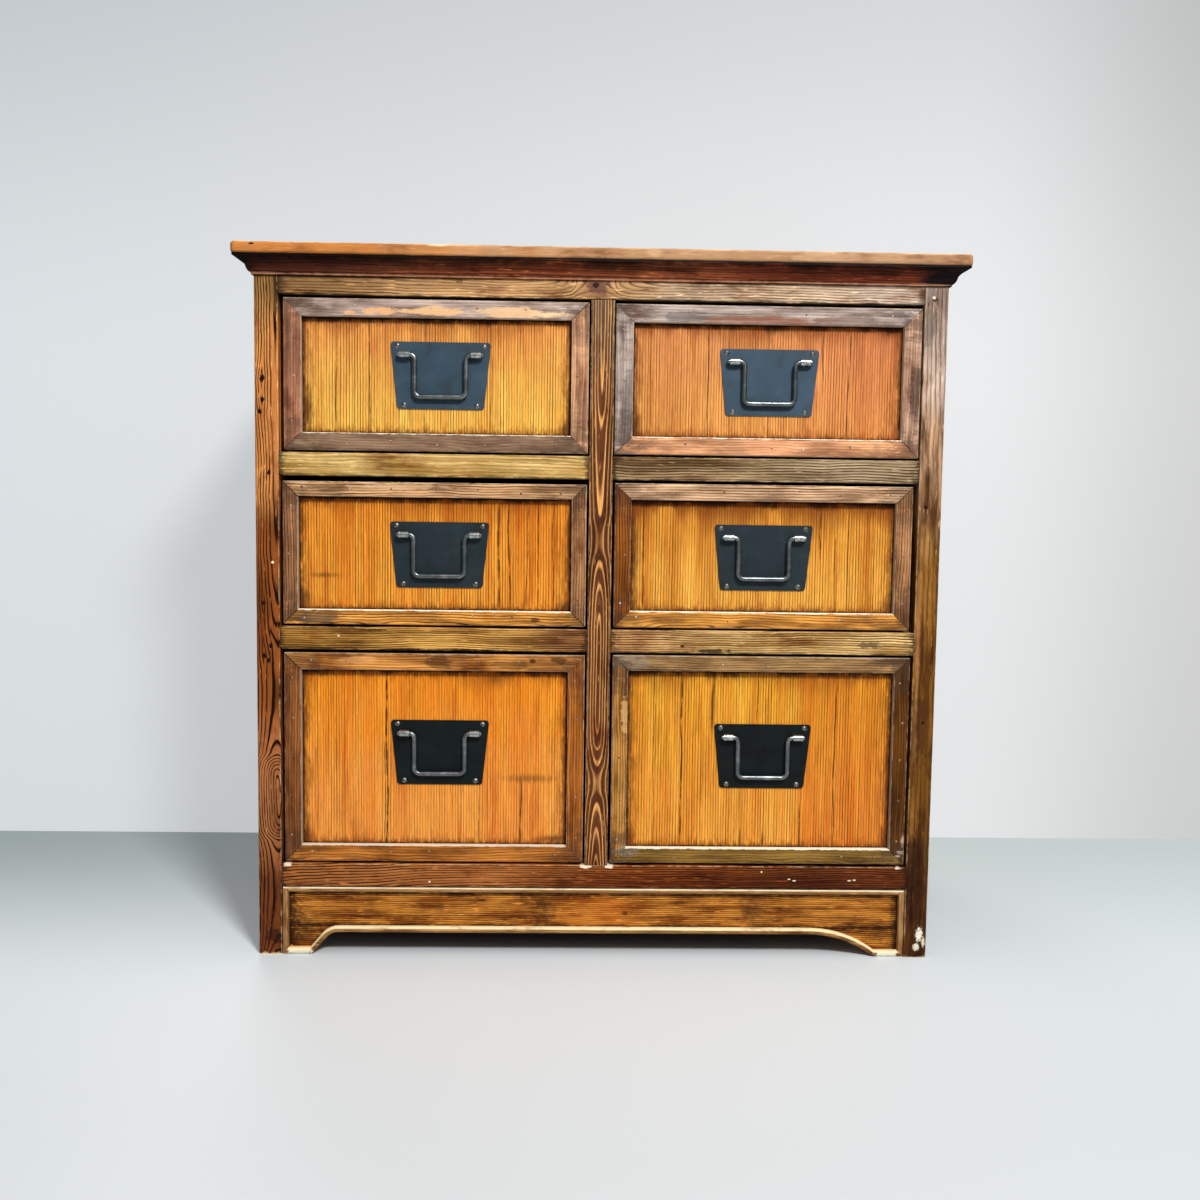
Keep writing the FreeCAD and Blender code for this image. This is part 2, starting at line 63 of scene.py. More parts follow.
class Wire:                        # a node's output, with which sums can be written
    def __init__(self, bench, socket):
        self.bench, self.socket = bench, socket

    __add__, __radd__ = sumOf("ADD")
    __sub__, __rsub__ = sumOf("SUBTRACT")
    __mul__, __rmul__ = sumOf("MULTIPLY")
    __truediv__, __rtruediv__ = sumOf("DIVIDE")

    def __abs__(self):
        return self.bench.calc("ABSOLUTE", self)

    def clamped(self):             # for a fresh sum only, because it changes the sum's own node
        self.socket.node.use_clamp = True
        return self

    def isVector(self):
        return self.socket.type == "VECTOR"


class Bench:                       # short hands for wiring one node tree
    def __init__(self, tree):
        self.tree = tree

    def feed(self, socket, value):
        if isinstance(value, Wire):
            self.tree.links.new(value.socket, socket)
        else:
            socket.default_value = srgb(value) if isinstance(value, str) else value

    def node(self, kind, values, **settings):
        node = self.tree.nodes.new(kind)
        for key, value in settings.items():
            setattr(node, key, value)
        for key, value in values.items():
            self.feed(node.inputs[key], value)
        return node

    def add(self, kind, values, output=0, **settings):
        return Wire(self, self.node(kind, values, **settings).outputs[output])

    def calc(self, operation, *values):
        vectors = [v.isVector() if isinstance(v, Wire) else not isinstance(v, (int, float)) for v in values]
        kind = "ShaderNodeVectorMath" if any(vectors) else "ShaderNodeMath"
        return self.add(kind, dict(enumerate(values)), operation=operation)

    def least(self, first, second):
        return self.calc("MINIMUM", first, second)

    def most(self, first, second):
        return self.calc("MAXIMUM", first, second)

    def join(self, x, y, z):
        return self.add("ShaderNodeCombineXYZ", {0: x, 1: y, 2: z})

    def split(self, vector):
        return [Wire(self, part) for part in self.node("ShaderNodeSeparateXYZ", {0: vector}).outputs]

    def smooth(self, value, low, high, toLow=0.0, toHigh=1.0):
        values = {0: value, 1: low, 2: high, 3: toLow, 4: toHigh}
        return self.add("ShaderNodeMapRange", values, interpolation_type="SMOOTHSTEP")

    def fall(self, value, low, high):
        return self.smooth(value, low, high, 1.0, 0.0)

    def noise(self, vector, detail=2.0, roughness=0.5):      # the vector already holds the scale
        values = {"Vector": vector, "Scale": 1.0, "Detail": detail, "Roughness": roughness}
        return self.add("ShaderNodeTexNoise", values)

    def chance(self, value):
        return self.add("ShaderNodeTexWhiteNoise", {"W": value}, noise_dimensions="1D")

    def blend(self, factor, first, second, mode="MIX"):
        values = {0: factor, 6: first, 7: second}
        return self.add("ShaderNodeMix", values, 2, data_type="RGBA", blend_type=mode)

    def tinted(self, colour, tint):
        return self.blend(1.0, colour, tint, "MULTIPLY")

    def mixShader(self, factor, first, second):
        return self.add("ShaderNodeMixShader", {0: factor, 1: first, 2: second})

    def group(self, tree, look, **given):        # each input takes what is given, or else the look's value
        values = {**look, **given}
        names = [item.name for item in tree.interface.items_tree if item.in_out == "INPUT"]
        node = self.node("ShaderNodeGroup", {}, node_tree=tree)
        for name in names:
            self.feed(node.inputs[name], values[name])
        return SimpleNamespace(**{output.name: Wire(self, output) for output in node.outputs})

    def give(self, **values):      # what a group puts out
        output = self.tree.nodes.new("NodeGroupOutput")
        for name, value in values.items():
            self.feed(output.inputs[name], value)
        return self.tree

    def dress(self, colour, roughness, height, strength, distance, **values):
        bump = self.add("ShaderNodeBump", {"Strength": strength, "Distance": distance, "Height": height})
        inputs = {"Base Color": colour, "Roughness": roughness, "Normal": bump}
        inputs.update({name.replace("_", " "): value for name, value in values.items()})
        self.show(self.add("ShaderNodeBsdfPrincipled", inputs))

    def show(self, shader):
        self.feed(self.tree.nodes.new("ShaderNodeOutputMaterial").inputs[0], shader)


socketKinds = {"number": "NodeSocketFloat", "vector": "NodeSocketVector", "colour": "NodeSocketColor",
               "whole": "NodeSocketInt", "shape": "NodeSocketGeometry", "material": "NodeSocketMaterial"}


def startGroup(name, inputs, outputs, kind="ShaderNodeTree"):      # a socket is written as its kind and name
    tree = bpy.data.node_groups.new(name, kind)
    for sockets, way in ((inputs, "INPUT"), (outputs, "OUTPUT")):
        for socket in sockets.split(", "):
            socketKind, label = socket.split()
            tree.interface.new_socket(name=label, in_out=way, socket_type=socketKinds[socketKind])
    bench = Bench(tree)
    taken = {s.name: Wire(bench, s) for s in tree.nodes.new("NodeGroupInput").outputs if s.name}
    return bench, SimpleNamespace(**taken)


def newMaterial(name):
    material = bpy.data.materials.new(name)
    material.use_nodes = True
    material.node_tree.nodes.clear()
    bench = Bench(material.node_tree)
    return material, bench, bench.add("ShaderNodeTexCoord", {}, "Object")


photoView = {
    "place": (-0.0341, -1.6922, 0.5733),
    "yaw": -1.34, "pitch": -4.48, "roll": -0.78,      # degrees
    "lens": 36.0, "sensor": 36.0, "nearest": 0.05, "furthest": 60.0,
}


def makeCamera(values):
    camera = bpy.data.objects.new("photoCamera", bpy.data.cameras.new("photoCamera"))
    bpy.context.scene.collection.objects.link(camera)
    camera.data.lens = values["lens"]
    camera.data.sensor_width = values["sensor"]
    camera.data.clip_start, camera.data.clip_end = values["nearest"], values["furthest"]
    turn = Matrix.Identity(3)
    for axis, angle in (("Z", values["yaw"]), ("X", values["pitch"]), ("Y", values["roll"]), ("X", 90)):
        turn = turn @ Matrix.Rotation(math.radians(angle), 3, axis)
    camera.matrix_world = Matrix.Translation(values["place"]) @ turn.to_4x4()
    bpy.context.scene.camera = camera


studio = {                         # a pair of places is where one tone starts and where it ends
    "wallY": 0.366, "wallHalfWidth": 5.0, "wallHeight": 5.0, "floorReach": 14.0, "wallGlow": 0.65,
    "wallLeft": "#dde1e4", "wallRight": "#e3e4e5", "wallAcross": (-0.8, 0.9),
    "wallHigh": "#dadbdc", "wallUp": (0.75, 1.6), "wallSide": "#e4e4e2", "wallSideAcross": (0.6, 1.1),
    "floorFront": "#c8cdcf", "floorNear": "#dae0e2", "floorNearBack": (-0.8, -0.15),
    "floorLeft": "#9eaaa9", "floorRight": "#cfd8d6", "floorAcross": (-0.8, 0.6),
    "floorBack": (-0.35, 0.37), "pastWall": (0.666, 1.866),
    "chestShadowTone": "#0c1010", "underAcross": (0.40, 0.43), "underFront": (-0.215, -0.1),
    "underBack": (0.16, 0.2), "worldColour": "#f4f7fa", "worldLow": 0.2, "worldHigh": 0.6,
    "worldUp": (-0.1, 0.8), "worldBehind": 0.4, "worldBack": (0.0, 0.8), "backdropColour": "#d9dcde",
    "keyPlace": (0.75, -2.3, 2.5), "keyAim": (0.0, 0.0, 0.45), "keySize": 0.55, "keyPower": 106.0,
    "rimPlace": (-1.2, 2.6, 2.6), "rimAim": (0.0, 0.1, 0.5), "rimSize": 1.6, "rimPower": 22.0,
}


def addPlane(name, corners, material):
    mesh = bpy.data.meshes.new(name)
    mesh.from_pydata(corners, [], [(0, 1, 2, 3)])
    plane = bpy.data.objects.new(name, mesh)
    bpy.context.scene.collection.objects.link(plane)
    plane.data.materials.append(material)
    return plane


def addLamp(values, name):
    lamp = bpy.data.lights.new(name + "Lamp", "AREA")
    lamp.shape, lamp.size, lamp.energy = "DISK", values[name + "Size"], values[name + "Power"]
    holder = bpy.data.objects.new(name + "Lamp", lamp)
    bpy.context.scene.collection.objects.link(holder)
    place, aim = Vector(values[name + "Place"]), Vector(values[name + "Aim"])
    holder.location = place
    holder.rotation_euler = (aim - place).to_track_quat("-Z", "Y").to_euler()


def floorMaterial(values):
    material, bench, place = newMaterial("studioFloorPaint")
    x, y, _ = bench.split(place)
    # painted light falloff: the floor darkens towards the wall, most at the left, and dims a little far in
    # front
    fade = bench.smooth(y, *values["floorBack"]) * (1.0 - bench.smooth(y, *values["pastWall"]))
    far = bench.blend(bench.smooth(x, *values["floorAcross"]), values["floorLeft"], values["floorRight"])
    near = bench.blend(bench.smooth(y, *values["floorNearBack"]), values["floorFront"], values["floorNear"])
    # a painted contact shadow darkens the floor under the chest
    under = bench.smooth(y, *values["underFront"]) * bench.fall(y, *values["underBack"])
    under = bench.fall(abs(x), *values["underAcross"]) * under
    colour = bench.blend(under, bench.blend(fade, near, far), values["chestShadowTone"])
    bench.show(bench.add("ShaderNodeBsdfPrincipled", {"Base Color": colour, "Roughness": 0.5}))
    return material


def wallMaterial(values):          # the wall isn't seen from behind; its tone is painted light, a little lighter to the right and darker towards the top and the far right
    material, bench, place = newMaterial("studioWallPaint")
    x, _, z = bench.split(place)
    colour = bench.blend(bench.smooth(x, *values["wallAcross"]), values["wallLeft"], values["wallRight"])
    colour = bench.blend(bench.smooth(z, *values["wallUp"]), colour, bench.tinted(colour, values["wallHigh"]))
    side = bench.smooth(x, *values["wallSideAcross"])
    colour = bench.blend(side, colour, bench.tinted(colour, values["wallSide"]))
    paint = bench.add("ShaderNodeBsdfPrincipled", {"Base Color": colour, "Roughness": 0.9})
    glow = bench.add("ShaderNodeEmission", {"Color": colour})
    camera = bench.add("ShaderNodeLightPath", {}, "Is Camera Ray")
    back = bench.add("ShaderNodeNewGeometry", {}, "Backfacing")
    clear = bench.add("ShaderNodeBsdfTransparent", {})
    bench.show(bench.mixShader(back, bench.mixShader(camera * values["wallGlow"], paint, glow), clear))
    return material


def makeWorld(values):
    world = bpy.data.worlds.new("studioWorld")
    bpy.context.scene.world = world
    world.use_nodes = True
    world.node_tree.nodes.clear()
    bench = Bench(world.node_tree)
    _, back, height = bench.split(bench.add("ShaderNodeTexCoord", {}, "Generated"))
    strength = bench.smooth(height, *values["worldUp"], values["worldLow"], values["worldHigh"])
    strength = strength * bench.smooth(back, *values["worldBack"], 1.0, values["worldBehind"])
    light = bench.add("ShaderNodeBackground", {0: values["worldColour"], 1: strength})
    seen = bench.add("ShaderNodeBackground", {0: values["backdropColour"], 1: 1.0})
    mixed = bench.mixShader(bench.add("ShaderNodeLightPath", {}, "Is Camera Ray"), light, seen)
    bench.feed(world.node_tree.nodes.new("ShaderNodeOutputWorld").inputs[0], mixed)


def makeStudio(values):
    reach, half, y, height = (values[k] for k in ("floorReach", "wallHalfWidth", "wallY", "wallHeight"))
    addPlane("studioFloor", [(-reach, -reach, 0), (reach, -reach, 0), (reach, reach, 0), (-reach, reach, 0)],
             floorMaterial(values))
    wall = addPlane("studioWall", [(-half, y, 0), (half, y, 0), (half, y, height), (-half, y, height)],
                    wallMaterial(values))
    for ray in ("visible_diffuse", "visible_glossy", "visible_transmission", "visible_shadow"):
        setattr(wall, ray, False)
    makeWorld(values)
    addLamp(values, "key")
    addLamp(values, "rim")
    bpy.context.scene.view_settings.view_transform = "Standard"


makeCamera(photoView)
makeStudio(studio)
print("camera and studio ready")


def buildOldWood():
    # Place is across, depth, along. Lean is how far the board lies from the tree's middle:
    # a steady lean gives straight lines, and a changing one gives flames and eyes.
    bench, taken = startGroup(
        "oldWood", "vector place, number seed, colour light, colour dark, colour line, number lineStrength, "
        "number lineSharpness, number ringSpacing, number ringDrift, number lean, number flameCentre, "
        "number wobble, number fibreWidth, number fibreDepth, number fleckStrength, number patchiness, "
        "vector patchSize, vector stainSize, number stainStrength, colour stain, number crackGap, "
        "number crackStrength", "colour painted, number height, number lines")
    smooth, seed = bench.smooth, taken.seed
    shifted = taken.place + bench.join(seed * 3.17, seed * 1.31, seed * 7.73)
    across, depth, _ = bench.split(taken.place)

    def stretched(acrossScale, alongScale, detail=2.0, roughness=0.5):
        return bench.noise(shifted * (acrossScale, acrossScale, alongScale), detail, roughness)

    bend = (stretched(9.0, 6.0, 3.0, 0.55) - 0.5) * (taken.wobble * 2.0)
    offLine = across - taken.flameCentre + bend
    lean = depth * 0.3 + taken.lean
    ringRadius = bench.calc("SQRT", offLine * offLine + lean * lean)
    drift = (stretched(30.0, 5.0) - 0.5) * taken.ringDrift
    phase = ringRadius / taken.ringSpacing + drift
    ring, part = bench.calc("FLOOR", phase), bench.calc("FRACT", phase)
    rise = smooth(part, 0.62 - 0.6 * (1.0 - taken.lineSharpness), 0.86)
    chance = bench.chance(ring + seed * 5.0)
    fade = smooth(stretched(90.0, 9.0), 0.3, 0.6, 0.5, 1.0)
    lines = rise * bench.fall(part, 0.88, 1.0) * (fade * (chance * 0.6 + 0.4))

    patches = smooth(bench.noise(shifted / taken.patchSize, 3.0), 0.3, 0.7) * 0.65 + chance * 0.35
    patches = (0.5 + (patches - 0.5) * taken.patchiness).clamped()
    colour = bench.blend(patches, taken.dark, taken.light)
    colour = bench.blend((lines * taken.lineStrength).clamped(), colour, taken.line)

    fineScale = 1.0 / taken.fibreWidth
    fine = bench.noise(shifted * bench.join(fineScale, fineScale, 14.0), 3.0, 0.6)
    fleck = bench.noise(shifted * bench.join(fineScale, fineScale, 90.0))
    fibre = smooth(fine, 0.3, 0.7) * 0.7 + smooth(fleck, 0.3, 0.7) * 0.3
    shade = 1.0 - (1.0 - fibre) * taken.fibreDepth
    colour = bench.tinted(colour, bench.join(shade, shade, shade))

    pores = stretched(420.0, 55.0)
    colour = bench.blend((smooth(pores, 0.4, 0.26) * taken.fleckStrength).clamped(), colour, taken.line)
    shine = bench.tinted(taken.light, (1.25, 1.25, 1.25, 1.0))
    colour = bench.blend((smooth(pores, 0.6, 0.74) * taken.fleckStrength).clamped(), colour, shine)

    stain = bench.noise(shifted / taken.stainSize + (4.7, 1.9, 8.3), 5.0, 0.62)
    stain = (smooth(stain, 0.53, 0.72) * taken.stainStrength).clamped()
    colour = bench.blend(stain, colour, bench.tinted(colour, taken.stain))

    # cracks that run with the grain, some of them missing
    wander = (stretched(3.0, 5.0) - 0.5) * 0.006 + across
    crackPhase = (seed * 0.37 + wander) / taken.crackGap
    crackPlace = bench.chance(bench.calc("FLOOR", crackPhase)) * 0.6 + 0.2
    crackOff = abs(bench.calc("FRACT", crackPhase) - crackPlace) * taken.crackGap
    crackHalf = smooth(stretched(60.0, 12.0), 0.35, 0.65, 0.25, 1.0) * 0.0009
    crack = (bench.fall(crackOff, 0.0, crackHalf) * taken.crackStrength).clamped()
    height = fibre * 0.35 - lines * 0.5 - crack
    return bench.give(painted=bench.blend(crack, colour, "#1c0e08"), height=height, lines=lines)


def buildKnotBend():               # the grain parts to go round a knot
    bench, taken = startGroup("knotBend", "vector place, vector knot, number reach", "vector bent")
    offAcross, _, offAlong = bench.split(taken.place - taken.knot)
    far, near = offAlong / (taken.reach * 4.5), offAcross / (taken.reach * 3.0)
    fall = taken.reach / (far * far + 1.0 + near * near)
    return bench.give(bent=taken.place - bench.join(bench.calc("SIGN", offAcross) * fall, 0.0, 0.0))


def buildToneShift():              # one finish turns into another along the piece
    bench, taken = startGroup("toneShift", "vector place, number along, number start, number end, "
                              "colour first, colour second", "colour painted")
    ragged = bench.noise(taken.place * (22.0, 22.0, 22.0), 3.0)
    moved = taken.along + (ragged - 0.5) * abs(taken.end - taken.start)
    mask = bench.smooth(moved, taken.start, taken.end)
    return bench.give(painted=bench.blend(mask, taken.first, taken.second))


def buildBoxEdge():                # how far a point on a box lies from the nearest arris
    bench, taken = startGroup("boxEdge", "vector place, vector middle, vector half", "number distance")
    x, y, z = bench.split(taken.half - abs(taken.place - taken.middle))
    low, high = bench.least(x, bench.least(y, z)), bench.most(x, bench.most(y, z))
    return bench.give(distance=x + (y + z) - (low + high))


def buildEdgeTint():               # wear or dirt that starts at an edge and ends raggedly
    bench, taken = startGroup("edgeTint", "colour base, vector place, number distance, colour tint, "
                              "number width, number amount, vector grain", "colour painted")
    ragged = bench.noise(taken.place / taken.grain, 4.0, 0.7)
    reach = taken.width * bench.smooth(ragged, 0.3, 0.7, 0.05, 1.7)
    mask = (bench.fall(taken.distance, 0.0, reach) * taken.amount).clamped()
    return bench.give(painted=bench.blend(mask, taken.base, taken.tint))


def buildSpot():                   # a ragged oval of another colour
    bench, taken = startGroup("spot", "colour base, vector place, vector middle, vector reach, colour tint, "
                              "number amount, vector grain, number core", "colour painted")
    ragged = bench.noise(taken.place / taken.grain, 3.0, 0.6)
    off = (taken.place - taken.middle) / taken.reach
    far = bench.add("ShaderNodeVectorMath", {0: off}, "Value", operation="LENGTH") + (ragged - 0.5) * 1.8
    mask = (bench.fall(far, taken.core, 1.0) * taken.amount).clamped()
    return bench.give(painted=bench.blend(mask, taken.base, taken.tint))


def buildSplitLine():              # one crack that follows the grain, from one height to another
    bench, taken = startGroup("splitLine", "colour base, vector place, number position, number low, "
                              "number high, number width, number strength, colour tint", "colour painted")
    smooth, position = bench.smooth, taken.position
    x, _, z = bench.split(taken.place)
    wave = bench.noise(bench.join(position * 40.0, 0.0, z * 7.0), 4.0)
    off = abs((wave - 0.5) * 0.012 + x - position)
    thick = bench.noise(bench.join(position * 90.0, 3.0, z * 60.0), 3.0)
    reach = taken.width * smooth(thick, 0.3, 0.62, 0.25, 1.0)
    inside = smooth(z, taken.low, taken.low + 0.03) * bench.fall(z, taken.high - 0.03, taken.high)
    mask = (bench.fall(off, reach * 0.2, reach) * (inside * taken.strength)).clamped()
    return bench.give(painted=bench.blend(mask, taken.base, taken.tint))


def buildFrameStrips():            # which of a frame's four strips a point is on, and where on it
    bench, taken = startGroup(
        "frameStrips", "vector place, vector middle, vector half, number strip, "
        "colour top, colour right, colour bottom, colour left",
        "vector grain, colour tone, number outer, number inner, number mitre, number atBottom, number corner")
    offX, depth, offZ = bench.split(taken.place - taken.middle)
    halfX, _, halfZ = bench.split(taken.half)
    inX, inZ = halfX - abs(offX), halfZ - abs(offZ)
    upright = bench.calc("LESS_THAN", inX, inZ)
    level = 1.0 - upright
    isRight, isTop = (bench.calc("GREATER_THAN", off, 0.0) for off in (offX, offZ))
    sideTone = bench.blend(isRight, taken.left, taken.right)
    levelTone = bench.blend(isTop, taken.bottom, taken.top)
    index = upright * (isRight + 3.0) + level * isTop
    along = upright * offZ + level * offX
    across = bench.least(inX, inZ)
    return bench.give(
        grain=bench.join(index * 0.9 + across, depth, index * 3.3 + along),
        tone=bench.blend(upright, levelTone, sideTone), outer=across, inner=taken.strip - across,
        mitre=abs(inX - inZ) * 0.7071, atBottom=level * (1.0 - isTop), corner=bench.most(inX, inZ))


def buildBoards():                 # joints between boards laid side by side
    bench, taken = startGroup("boards", "number across, number middle, number boardWidth, number boardCount, "
                              "number jointWidth", "number joint, number board")
    count = taken.boardCount * 0.5 + (taken.across - taken.middle) / taken.boardWidth
    count = bench.most(0.5, bench.least(count, taken.boardCount - 0.5))
    near = abs(count - bench.calc("ROUND", count)) * taken.boardWidth
    joint = bench.fall(near, taken.jointWidth * 0.3, taken.jointWidth)
    return bench.give(joint=joint, board=bench.calc("FLOOR", count))


def buildWornMetal():              # rubbed metal: pale where it is handled, dark where it isn't
    bench, taken = startGroup(
        "wornMetal", "vector place, colour base, colour rubbed, colour tarnish, number rubbedAmount, "
        "number tarnishAmount, number grainSize, number smooth, number rough",
        "colour painted, number roughness, number height")
    scale = 1.0 / taken.grainSize
    cloud = bench.noise(taken.place * bench.join(scale, scale, scale), 4.0, 0.6)
    fine = bench.noise(taken.place * (1400.0, 1400.0, 1400.0))
    rubbed = (bench.smooth(cloud, 0.48, 0.68) * taken.rubbedAmount).clamped()
    tarnish = (bench.fall(cloud, 0.3, 0.46) * taken.tarnishAmount).clamped()
    colour = bench.blend(tarnish, bench.blend(rubbed, taken.base, taken.rubbed), taken.tarnish)
    rough = taken.smooth + (taken.rough - taken.smooth) * cloud
    return bench.give(painted=colour, roughness=fine * 0.08 + rough, height=fine + cloud)


oldWood, knotBend, toneShift, boxEdge = buildOldWood(), buildKnotBend(), buildToneShift(), buildBoxEdge()
edgeTint, spot, splitLine = buildEdgeTint(), buildSpot(), buildSplitLine()
frameStrips, boards, wornMetal = buildFrameStrips(), buildBoards(), buildWornMetal()
print("shader groups ready")


plainWood = {                      # what every wood starts from
    "seed": 1.0, "light": "#d9a060", "dark": "#b0713a", "line": "#5a3014", "lineStrength": 0.7,
    "lineSharpness": 0.6, "ringSpacing": 0.004, "ringDrift": 0.6, "leanReach": 0.002, "leanLength": 0.25,
    "flameCentre": 0.0, "wobble": 0.006, "fibreWidth": 0.0009, "fibreDepth": 0.4, "fleckStrength": 0.6,
    "patchiness": 1.0, "patchSize": (0.06, 0.06, 0.2), "stainSize": (0.03, 0.03, 0.09), "stainStrength": 0.8,
    "stain": "#a87c5c", "crackGap": 0.06, "crackStrength": 0.0, "roughness": 0.44, "gloss": 0.07,
    "relief": 0.00035, "grain": "z",
}
grainAxes = {                      # across, depth, along, and where the face lies on the depth axis
    "z": ("x", "y", "z", -0.19875), "x": ("z", "y", "x", -0.19875), "y": ("z", "x", "y", 0.0),
    "flatX": ("y", "z", "x", 0.884), "sideZ": ("y", "x", "z", 0.42),
}
boardJoint = {"width": 0.0012, "colour": "#24130a", "seedStep": 1.7}
lineDullness = 0.2                 # the dark lines of the grain are duller than the waxed wood between them


def leanOf(bench, look, along):    # the lean by listed points along the piece, or by chance
    if "leanPoints" not in look:
        drift = bench.noise(bench.join(look["seed"], 0.0, along / look["leanLength"]), 1.0)
        return (drift - 0.5) * (look["leanReach"] * 2)
    points = look["leanPoints"]
    start, end = points[0][0], points[-1][0]
    highest = max(lean for _, lean in points)
    node = bench.node("ShaderNodeFloatCurve", {"Value": (along - start) / (end - start)})
    curve = node.mapping.curves[0]
    spread = [((place - start) / (end - start), lean / highest) for place, lean in points]
    curve.points[0].location, curve.points[1].location = spread[0], spread[-1]
    for place in spread[1:-1]:
        curve.points.new(*place)
    node.mapping.update()
    return Wire(bench, node.outputs[0]) * highest


def grainPlace(bench, parts, grain):
    *axes, face = grainAxes[grain]
    across, depth, along = (parts["xyz".index(axis)] for axis in axes)
    return bench.join(across, depth - face, along)


def addSpots(bench, colour, place, rows):
    for middle, reach, tint, amount, grain, core in rows:
        colour = bench.group(spot, {}, base=colour, place=place, middle=middle, reach=reach, tint=tint,
                             amount=amount, grain=grain, core=core).painted
    return colour


def addTints(bench, colour, place, rows):
    for distance, tint, width, amount, grain in rows:
        colour = bench.group(edgeTint, {}, base=colour, place=place, distance=distance, tint=tint,
                             width=width, amount=amount, grain=grain).painted
    return colour


def shiftTone(bench, place, along, start, end, first, second):
    return bench.group(toneShift, {}, place=place, along=along, start=start, end=end, first=first,
                       second=second).painted


def finishWood(bench, look, colour, wood):
    rough = wood.lines * lineDullness + look["roughness"]
    bench.dress(colour, rough, wood.height, 1.0, look["relief"], Specular_IOR_Level=look["gloss"])


def crestWearAndHighlight(bench, colour, place, crest):      # rubbed pale and given a painted highlight where it faces up
    tint, low, high = crest
    facing = bench.split(bench.add("ShaderNodeNewGeometry", {}, "Normal"))[2]
    ragged = bench.noise(place / (0.02, 0.01, 0.01), 3.0, 0.6)
    worn = bench.smooth(facing, low, high) * bench.smooth(ragged, 0.25, 0.5, 0.45, 1.0)
    return bench.blend(worn, colour, tint)


def woodMaterial(name, **changes):
    look = {**plainWood, **changes}
    material, bench, place = newMaterial(name)
    parts = bench.split(place)
    grain = grainPlace(bench, parts, look["grain"])
    if "uprightPast" in look:      # pieces of one node that stand upright at its ends
        atEnd = bench.calc("GREATER_THAN", abs(parts[0]), look["uprightPast"])
        grain = bench.blend(atEnd, grain, grainPlace(bench, parts, "z"))
    along = bench.split(grain)[2]
    colours = [look["light"], look["dark"]]
    for light, dark, start, end in look.get("turns", []):      # a change of tone along the piece
        colours = [shiftTone(bench, place, along, start, end, first, second)
                   for first, second in zip(colours, (light, dark))]
    for across, height, reach in look.get("knots", []):
        grain = bench.group(knotBend, {}, place=grain, knot=(across, 0.0, height), reach=reach).bent
    given = {"place": grain, "light": colours[0], "dark": colours[1], "lean": leanOf(bench, look, along)}
    if "boards" in look:
        axis, middle, width, number = look["boards"]
        laid = bench.group(boards, {}, across=parts["xyz".index(axis)], middle=middle, boardWidth=width,
                           boardCount=number, jointWidth=boardJoint["width"])
        given["seed"] = laid.board * boardJoint["seedStep"] + look["seed"]
    wood = bench.group(oldWood, look, **given)
    spots = look.get("spots", []) + [front(*row) for row in look.get("fronts", [])]
    colour = addSpots(bench, wood.painted, place, spots)
    if "box" in look:
        middle, half = look["box"]
        edge = bench.group(boxEdge, {}, place=place, middle=middle, half=half).distance
        colour = addTints(bench, colour, place, [(edge, *row) for row in look.get("edges", [])])
    bands = [(abs(parts["xyz".index(axis)] - level), *row) for axis, level, *row in look.get("bands", [])]
    colour = addTints(bench, colour, place, bands)
    if "boards" in look:
        colour = bench.blend(laid.joint, colour, boardJoint["colour"])
    # the faces that look up are rubbed pale and carry a painted highlight
    if "crest" in look:
        colour = crestWearAndHighlight(bench, colour, place, look["crest"])
    finishWood(bench, look, colour, wood)
    return material


def paint(node, material):
    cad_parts[node].data.materials.clear()
    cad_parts[node].data.materials.append(material)


tenon = 0.011                      # what a rail's box holds beyond the wood that shows
frontY = -0.19875                  # the posts' faces
corniceFoot = 0.8495
ends = (0.012, 0.012, 0.03)
# pale rubbed edges, partly a painted highlight where the rounded arrises catch the light
wornLitEdge = ("#dcbd8e", 0.0014, 0.5, (0.014, 0.014, 0.014))
# darker along a panel's edges
darkEdge = ("#2a1608", 0.004, 0.5, (0.02, 0.02, 0.02))
railEnd = ("#2a1608", 0.012, 0.85, (0.012, 0.012, 0.008))
# a near-black painted shade line along a rail's lower edge
railFootShade = ("#0d0704", 0.0032, 0.9, (0.03, 0.02, 0.01))
railWood = {"grain": "x", "fibreDepth": 0.45, "fleckStrength": 0.35, "patchSize": (0.02, 0.02, 0.12)}


def front(x, z, wide, high, tint, amount=1.0, grain=0.006, core=0.55):      # a spot on the chest's front
    return (x, frontY, z), (wide, 0.05, high), tint, amount, (grain, grain, grain), core


